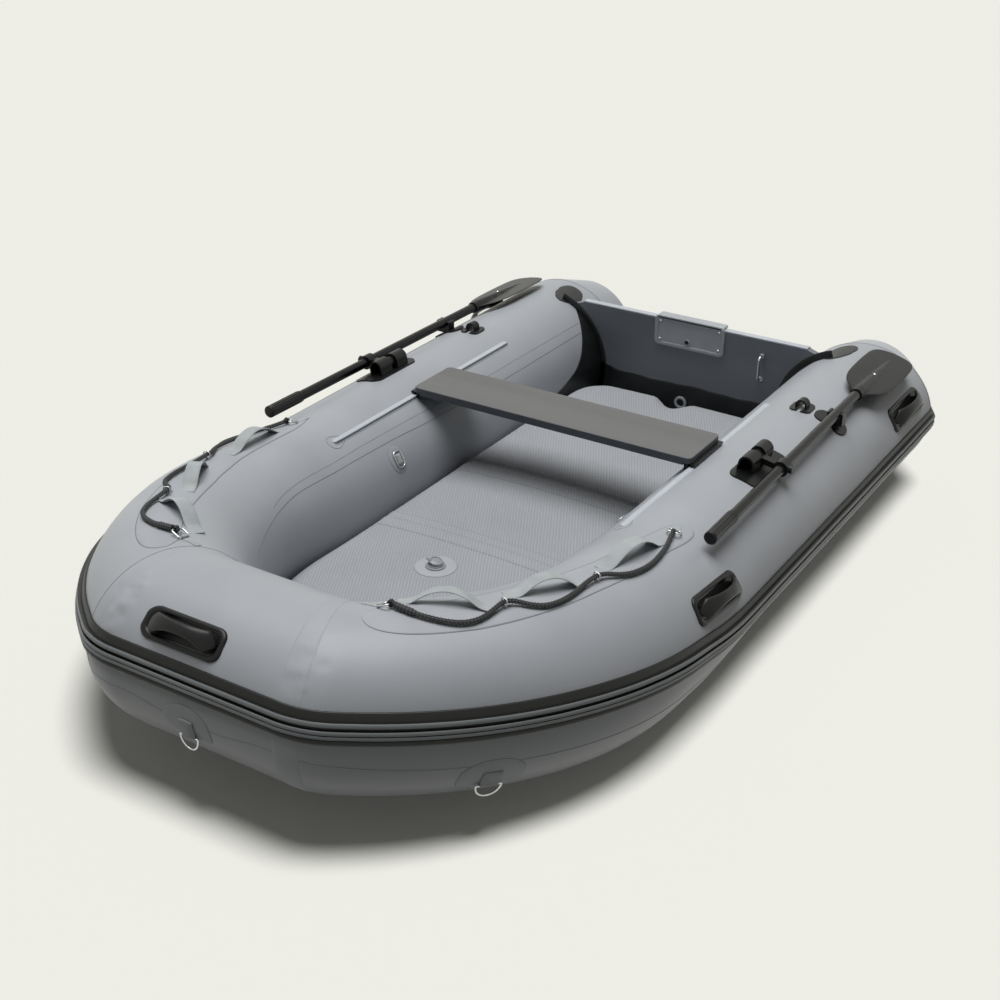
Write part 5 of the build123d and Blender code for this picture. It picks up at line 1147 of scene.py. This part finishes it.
def makeTieRing(name, side, replaces=()):
    # inside the boat: a round patch with a small upright ring held flat under a short strap
    flat = sideMap(placeAlong(-0.099), 152, side)
    turn = np.linspace(0, 2 * np.pi, 65)[:-1]
    makePatch("tie_" + name, flat, np.stack([0.033 * np.cos(turn), 0.040 * np.sin(turn)], -1))
    strap = roundedOutline(0.022, 0.030, 0.003)
    rows = [(0.008, 0.0070), (0.004, 0.0068), (0.0012, 0.0056), (0.0, 0.0030), (0.0, 0.0), (0.008, 0.0)]
    outlineDisc("tie_strap_" + name, flat, strap, rows, [webbing["material"]])
    path = [(x, y, 0.0046) for x, y in roundedOutline(0.030, 0.046, 0.010, 7)]
    return wireLoop("tie_ring_" + name, flat, path, 0.0042, replaces=replaces, roundness=3)


makeTieRing("port", 1, ["tie_down_rings", "tie_down_straps"])
makeTieRing("starboard", -1)
print("rings ready")

# ---- the plate for a motor on the transom
plate = {"middle": -0.004, "low": 0.350, "high": 0.4500, "half": 0.122, "corner": 0.016, "thick": 0.0090, "floor": 0.0050,
         "screws": ((-0.103, 0.0300), (0.103, 0.0300), (-0.103, -0.0310), (0.103, -0.0310)), "lip": 0.034, "screwRadius": 0.0054}


def makePlate():
    # a moulded plate with a raised rim on the board's inner face, a lip over its top edge, four screws and a drain hole
    height = plate["high"] - plate["low"]
    z = (plate["high"] + plate["low"]) / 2
    place = lambda u, v, h: np.stack(np.broadcast_arrays(plate["middle"] + u, transom["face"] - h, z + v), -1)
    outline = roundedOutline(2 * plate["half"], height, plate["corner"])
    thick, floor = plate["thick"], plate["floor"]
    rows = [(0.046, floor), (0.03, floor), (0.0125, floor), (0.0112, thick - 0.0006), (0.0098, thick), (0.0030, thick),
            (0.0010, thick - 0.0008), (0.0, thick - 0.0028), (0.0, 0.0002), (0.03, 0.0002), (0.046, 0.0002)]
    outlineDisc("motor_plate", place, outline, rows, [greyNylon["material"]],
                replaces=["motor_pad_inner"])
    over = lambda u, v, h: np.stack(np.broadcast_arrays(plate["middle"] + u, transom["face"] + plate["lip"] / 2 - thick / 2 + v,
                                                        plate["high"] - 0.0112 + h), -1)
    lip = roundedOutline(2 * plate["half"] - 0.012, plate["lip"] + thick, 0.006)
    rows = [(0.02, 0.0092), (0.006, 0.0092), (0.002, 0.0089), (0.0006, 0.0080), (0.0, 0.0062), (0.0, 0.002), (0.02, 0.002)]
    outlineDisc("motor_plate_lip", over, lip, rows, [greyNylon["material"]])
    turn = np.linspace(0, 2 * np.pi, 41)[:-1]
    circle = np.stack([np.cos(turn), np.sin(turn)], -1)
    for k, (x, up) in enumerate(plate["screws"]):
        at = lambda u, v, h, x=x, up=up: place(u + x, v + up, h)
        rows = [(0.0050, 0.0094), (0.0030, 0.0091), (0.0012, 0.0080), (0.0, 0.0060), (0.0, 0.0040), (0.005, 0.0040)]
        outlineDisc(f"plate_screw_{k}", at, circle * plate["screwRadius"], rows, [stainlessWire["material"]])
    at = lambda u, v, h: place(u - 0.006, v - 0.026, h)
    rows = [(0.0108, 0.0056), (0.0052, 0.0056), (0.0044, 0.0070), (0.0032, 0.0094), (0.0014, 0.0092), (0.0, 0.0060),
            (0.0, 0.0040), (0.0108, 0.0040)]
    tones = np.repeat([1, 0], [2 * 40, len(rows[3:]) * 40]).tolist() + [1, 0]
    outlineDisc("plate_drain", at, circle * 0.0112, rows, [greyNylon["material"], blackRubber["material"]],
                tones=tones)


makePlate()
print("motor plate ready")

# ---- the floor's valve
valve = {"x": -0.012, "y": -0.408, "patch": 0.055, "ring": 0.0265, "cap": 0.0185, "lean": 14.0}


def makeValve():
    # a round patch, a stepped ring with a dark throat, and a cap leaning in it with a tab at its edge
    floorHeight = float(deckHeight(np.array(valve["x"]), np.array(valve["y"])))
    place = lambda u, v, h: np.stack([valve["x"] + u, valve["y"] + v, deckHeight(valve["x"] + u, valve["y"] + v) + h], -1)
    level = lambda u, v, h: np.stack(np.broadcast_arrays(valve["x"] + u, valve["y"] + v, floorHeight + h), -1)
    turn = np.linspace(0, 2 * np.pi, 81)[:-1]
    circle = np.stack([np.cos(turn), np.sin(turn)], -1)
    makePatch("valve", place, circle * valve["patch"], 0.0012)
    rows = [(0.0255, 0.0015), (0.0100, 0.0015), (0.0090, 0.0025), (0.0085, 0.0085), (0.0070, 0.0096), (0.0050, 0.0090),
            (0.0040, 0.0055), (0.0012, 0.0048), (0.0, 0.0030), (0.0, 0.0), (0.0255, 0.0)]
    tones = np.repeat([1, 0], [80, 9 * 80]).tolist() + [1, 0]
    ring = outlineDisc("valve_ring", level, circle * valve["ring"], rows, [valveAcetal["material"], blackRubber["material"]],
                       replaces=["deck_valve"], tones=tones)
    lean = np.radians(valve["lean"])
    tipped = lambda u, v, h: level(u * np.cos(lean) + (h - 0.01) * np.sin(lean), v, 0.0105 + (h - 0.0105) * np.cos(lean) - u * np.sin(lean))
    rows = [(0.0180, 0.0185), (0.0080, 0.0185), (0.0060, 0.0176), (0.0052, 0.0192), (0.0020, 0.0190), (0.0004, 0.0178),
            (0.0, 0.0160), (0.0004, 0.0118), (0.0030, 0.0100), (0.0180, 0.0100)]
    outlineDisc("valve_cap", tipped, circle * valve["cap"], rows, [valveAcetal["material"]])
    tab = roundedOutline(0.016, 0.009, 0.004, 9)
    shifted = lambda u, v, h: tipped(u - 0.016, v - 0.010, h)
    rows = [(0.0040, 0.0205), (0.0015, 0.0205), (0.0, 0.0190), (0.0, 0.0172), (0.0040, 0.0172)]
    outlineDisc("valve_tab", shifted, tab, rows, [valveAcetal["material"]])
    return ring


makeValve()
print("valve ready")

# ---- seat rails: a flat flange glued on the tube, with a narrow ridge that the seat's runners ride on
rail = {"setback": 1.1585, "length": 0.889, "angle": 118.0, "patchHalf": 0.024}
# Across the rail and its height, in millimetres.
railProfile = np.array([(-10, -0.8), (-10, 0.7), (-9, 1.6), (-4.5, 4.2), (-1.0, 6.2), (1.6, 7.2), (3.6, 7.4), (4.8, 6.9),
                        (5.3, 5.8), (5.0, 4.6), (3.4, 3.6), (3.2, 1.4), (4.4, 0.9), (10, 0.7), (10, -0.8)]) / 1000


def makeRail(name, side):
    # the profile carried along the tube, narrowing over the last centimetre at both ends
    middle = placeAlong(hull["length"] / 2 - rail["setback"])
    half = rail["length"] / 2
    rows = np.concatenate([np.linspace(-half, -half + 0.012, 7), np.linspace(-half + 0.012, half - 0.012, 60)[1:-1],
                           np.linspace(half - 0.012, half, 7)])
    ends = np.sqrt(np.clip(1 - np.clip((np.abs(rows) - half + 0.012) / 0.012, 0, 1) ** 2, 0.04, 1))[:, None]
    angle = rail["angle"] + np.degrees(railProfile[:, 0] / hull["tubeRadius"]) * ends
    lift = np.where(railProfile[:, 1] > 0, railProfile[:, 1] * ends, railProfile[:, 1])
    points = hullPoint(middle + rows[:, None], angle, lift, side)
    makePiece("rail_" + name, points, sweepFaces(len(rows), len(railProfile)), [railRubber["material"]],
              replaces=["seat_rail_" + name], sharp=50)
    reach = rail["patchHalf"] / hull["tubeRadius"] * 57.3
    fore = middle - half
    edge = [(fore + 0.045, 0.42), (fore + 0.028, 0.75), (fore + 0.010, 1.0), (fore - 0.008, 0.95), (fore - 0.020, 0.66),
            (fore - 0.027, 0.0)]
    path = [(s, rail["angle"] + share * reach) for s, share in edge]
    path += [(s, rail["angle"] - share * reach) for s, share in edge[-2::-1]]
    # the patch's border, a thin dark line of painted shade
    hullStrip("rail_patch_edge_" + name, path, 0.0016, 0.0007, seamShade, side, rounds=8, step=0.006)


for name, side in sides:
    makeRail(name, side)
print("rails ready")

# ---- finishes of the parts kept from the CAD
kept = {
    "board": (paintedBoard, ["transom"]), "trim": (railRubber, ["transom_cap"]),
    "greyPad": (greyNylon, ["motor_pad_inner", "motor_pad_outer", "drain_ring"]),
    "nylon": (mouldedNylon, ["oarlock_base_port", "oarlock_base_starboard", "oarlock_collar_port",
                             "oarlock_collar_starboard", "oar_clip_port", "oar_clip_starboard", "lashing_loop_port",
                             "lashing_loop_starboard", "oar_grip_port", "oar_grip_starboard", "oar_blade_port",
                             "oar_blade_starboard"]),
    "steel": (stainlessWire, ["transom_eye", "oarlock_pin_port", "oarlock_pin_starboard", "lifeline_rings", "tow_rings",
                              "tie_down_rings", "lifeline_guide_rings"]),
    "strap": (webbing, ["lifeline_ring_straps", "lifeline_guide_straps", "tow_ring_straps", "tie_down_straps"]),
    "tube": (anodisedTube, ["oar_shaft_port", "oar_shaft_starboard"]),
    "seat": (seatBoard, ["thwart"]), "runner": (mouldedNylon, ["thwart_runner_port", "thwart_runner_starboard"]),
    "valve": (valveAcetal, ["deck_valve"])}
for look, nodes in kept.values():
    for node in nodes:
        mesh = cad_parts[node].data
        mesh.materials.clear()
        mesh.materials.append(look["material"])
print("kept parts finished")

# ---- floor and light
studio = {"backdrop": "#efefe7", "bounce": "#6e6e6b", "sunEnergy": 2.94, "sunAngle": 47.0, "dome": 0.075,
          "tiltBow": -3.0, "tiltSide": -7.0, "floorEnergy": 2.98, "floorAngle": 20.0, "floorBow": 8.0, "floorSide": 15.0,
          "floorGlow": 0.045}


def makeStudio():
    # a wide pale floor; it bounces less light than it shows to the camera, as a shaded room's floor would
    mesh = bpy.data.meshes.new("floor")
    mesh.from_pydata([(-30, -30, 0), (30, -30, 0), (30, 30, 0), (-30, 30, 0)], [], [(0, 1, 2, 3)])
    floor = bpy.data.objects.new("floor", mesh)
    bpy.context.scene.collection.objects.link(floor)
    material = bpy.data.materials.new("studio floor")
    material.use_nodes = True
    tree = material.node_tree
    shader = tree.nodes["Principled BSDF"]
    shader.inputs["Roughness"].default_value = 0.9
    shader.inputs["Specular IOR Level"].default_value = 0.0
    rays = addNode(tree, "ShaderNodeLightPath").outputs
    seen = addNode(tree, "ShaderNodeMath", {"operation": "MAXIMUM"}, {0: rays["Is Camera Ray"], 1: rays["Is Glossy Ray"]})
    seen = addNode(tree, "ShaderNodeMath", {"operation": "MAXIMUM"}, {0: seen.outputs[0], 1: rays["Is Transmission Ray"]})
    tone = addNode(tree, "ShaderNodeMix", {"data_type": "RGBA", 6: linearColour(studio["bounce"]), 7: linearColour(studio["backdrop"])},
                   {0: seen.outputs[0]})
    tree.links.new(tone.outputs[2], shader.inputs["Base Color"])
    # a little of the floor's tone reaches the camera even in shadow
    glow = addNode(tree, "ShaderNodeEmission", {"Color": linearColour(studio["backdrop"]), "Strength": 1.0})
    share = addNode(tree, "ShaderNodeMath", {"operation": "MULTIPLY", 1: studio["floorGlow"]}, {0: rays["Is Camera Ray"]})
    mixed = addNode(tree, "ShaderNodeMixShader", {}, {0: share.outputs[0], 1: shader.outputs[0], 2: glow.outputs[0]})
    tree.links.new(mixed.outputs[0], tree.nodes["Material Output"].inputs["Surface"])
    mesh.materials.append(material)
    # one soft lamp lights the boat; another, from the port quarter, lights only the floor and gives it its shadow
    for name, start, state in (("overhead", "sun", "EXCLUDE"), ("floor lamp", "floor", "INCLUDE")):
        sun = bpy.data.lights.new(name, "SUN")
        sun.energy = studio[start + "Energy"]
        sun.angle = np.radians(studio[start + "Angle"])
        lamp = bpy.data.objects.new(name, sun)
        bow, across = ("tiltBow", "tiltSide") if start == "sun" else ("floorBow", "floorSide")
        lamp.rotation_euler = (np.radians(studio[bow]), np.radians(studio[across]), 0)
        bpy.context.scene.collection.objects.link(lamp)
        lit = bpy.data.collections.new(name)
        lit.objects.link(floor)
        lit.collection_objects[0].light_linking.link_state = state
        lamp.light_linking.receiver_collection = lit
    world = bpy.data.worlds.new("studio")
    bpy.context.scene.world = world
    world.use_nodes = True
    tree = world.node_tree
    backdrop = tree.nodes["Background"]
    rays = addNode(tree, "ShaderNodeLightPath").outputs
    dome = studio["dome"]
    seen = addNode(tree, "ShaderNodeMath", {"operation": "MAXIMUM"}, {0: rays["Is Camera Ray"], 1: rays["Is Glossy Ray"]})
    seen = addNode(tree, "ShaderNodeMath", {"operation": "MAXIMUM"}, {0: seen.outputs[0], 1: rays["Is Transmission Ray"]})
    tone = addNode(tree, "ShaderNodeMix", {"data_type": "RGBA", 6: (dome, dome, dome, 1), 7: linearColour(studio["backdrop"])},
                   {0: seen.outputs[0]})
    tree.links.new(tone.outputs[2], backdrop.inputs["Color"])


makeStudio()
print("floor and light ready")
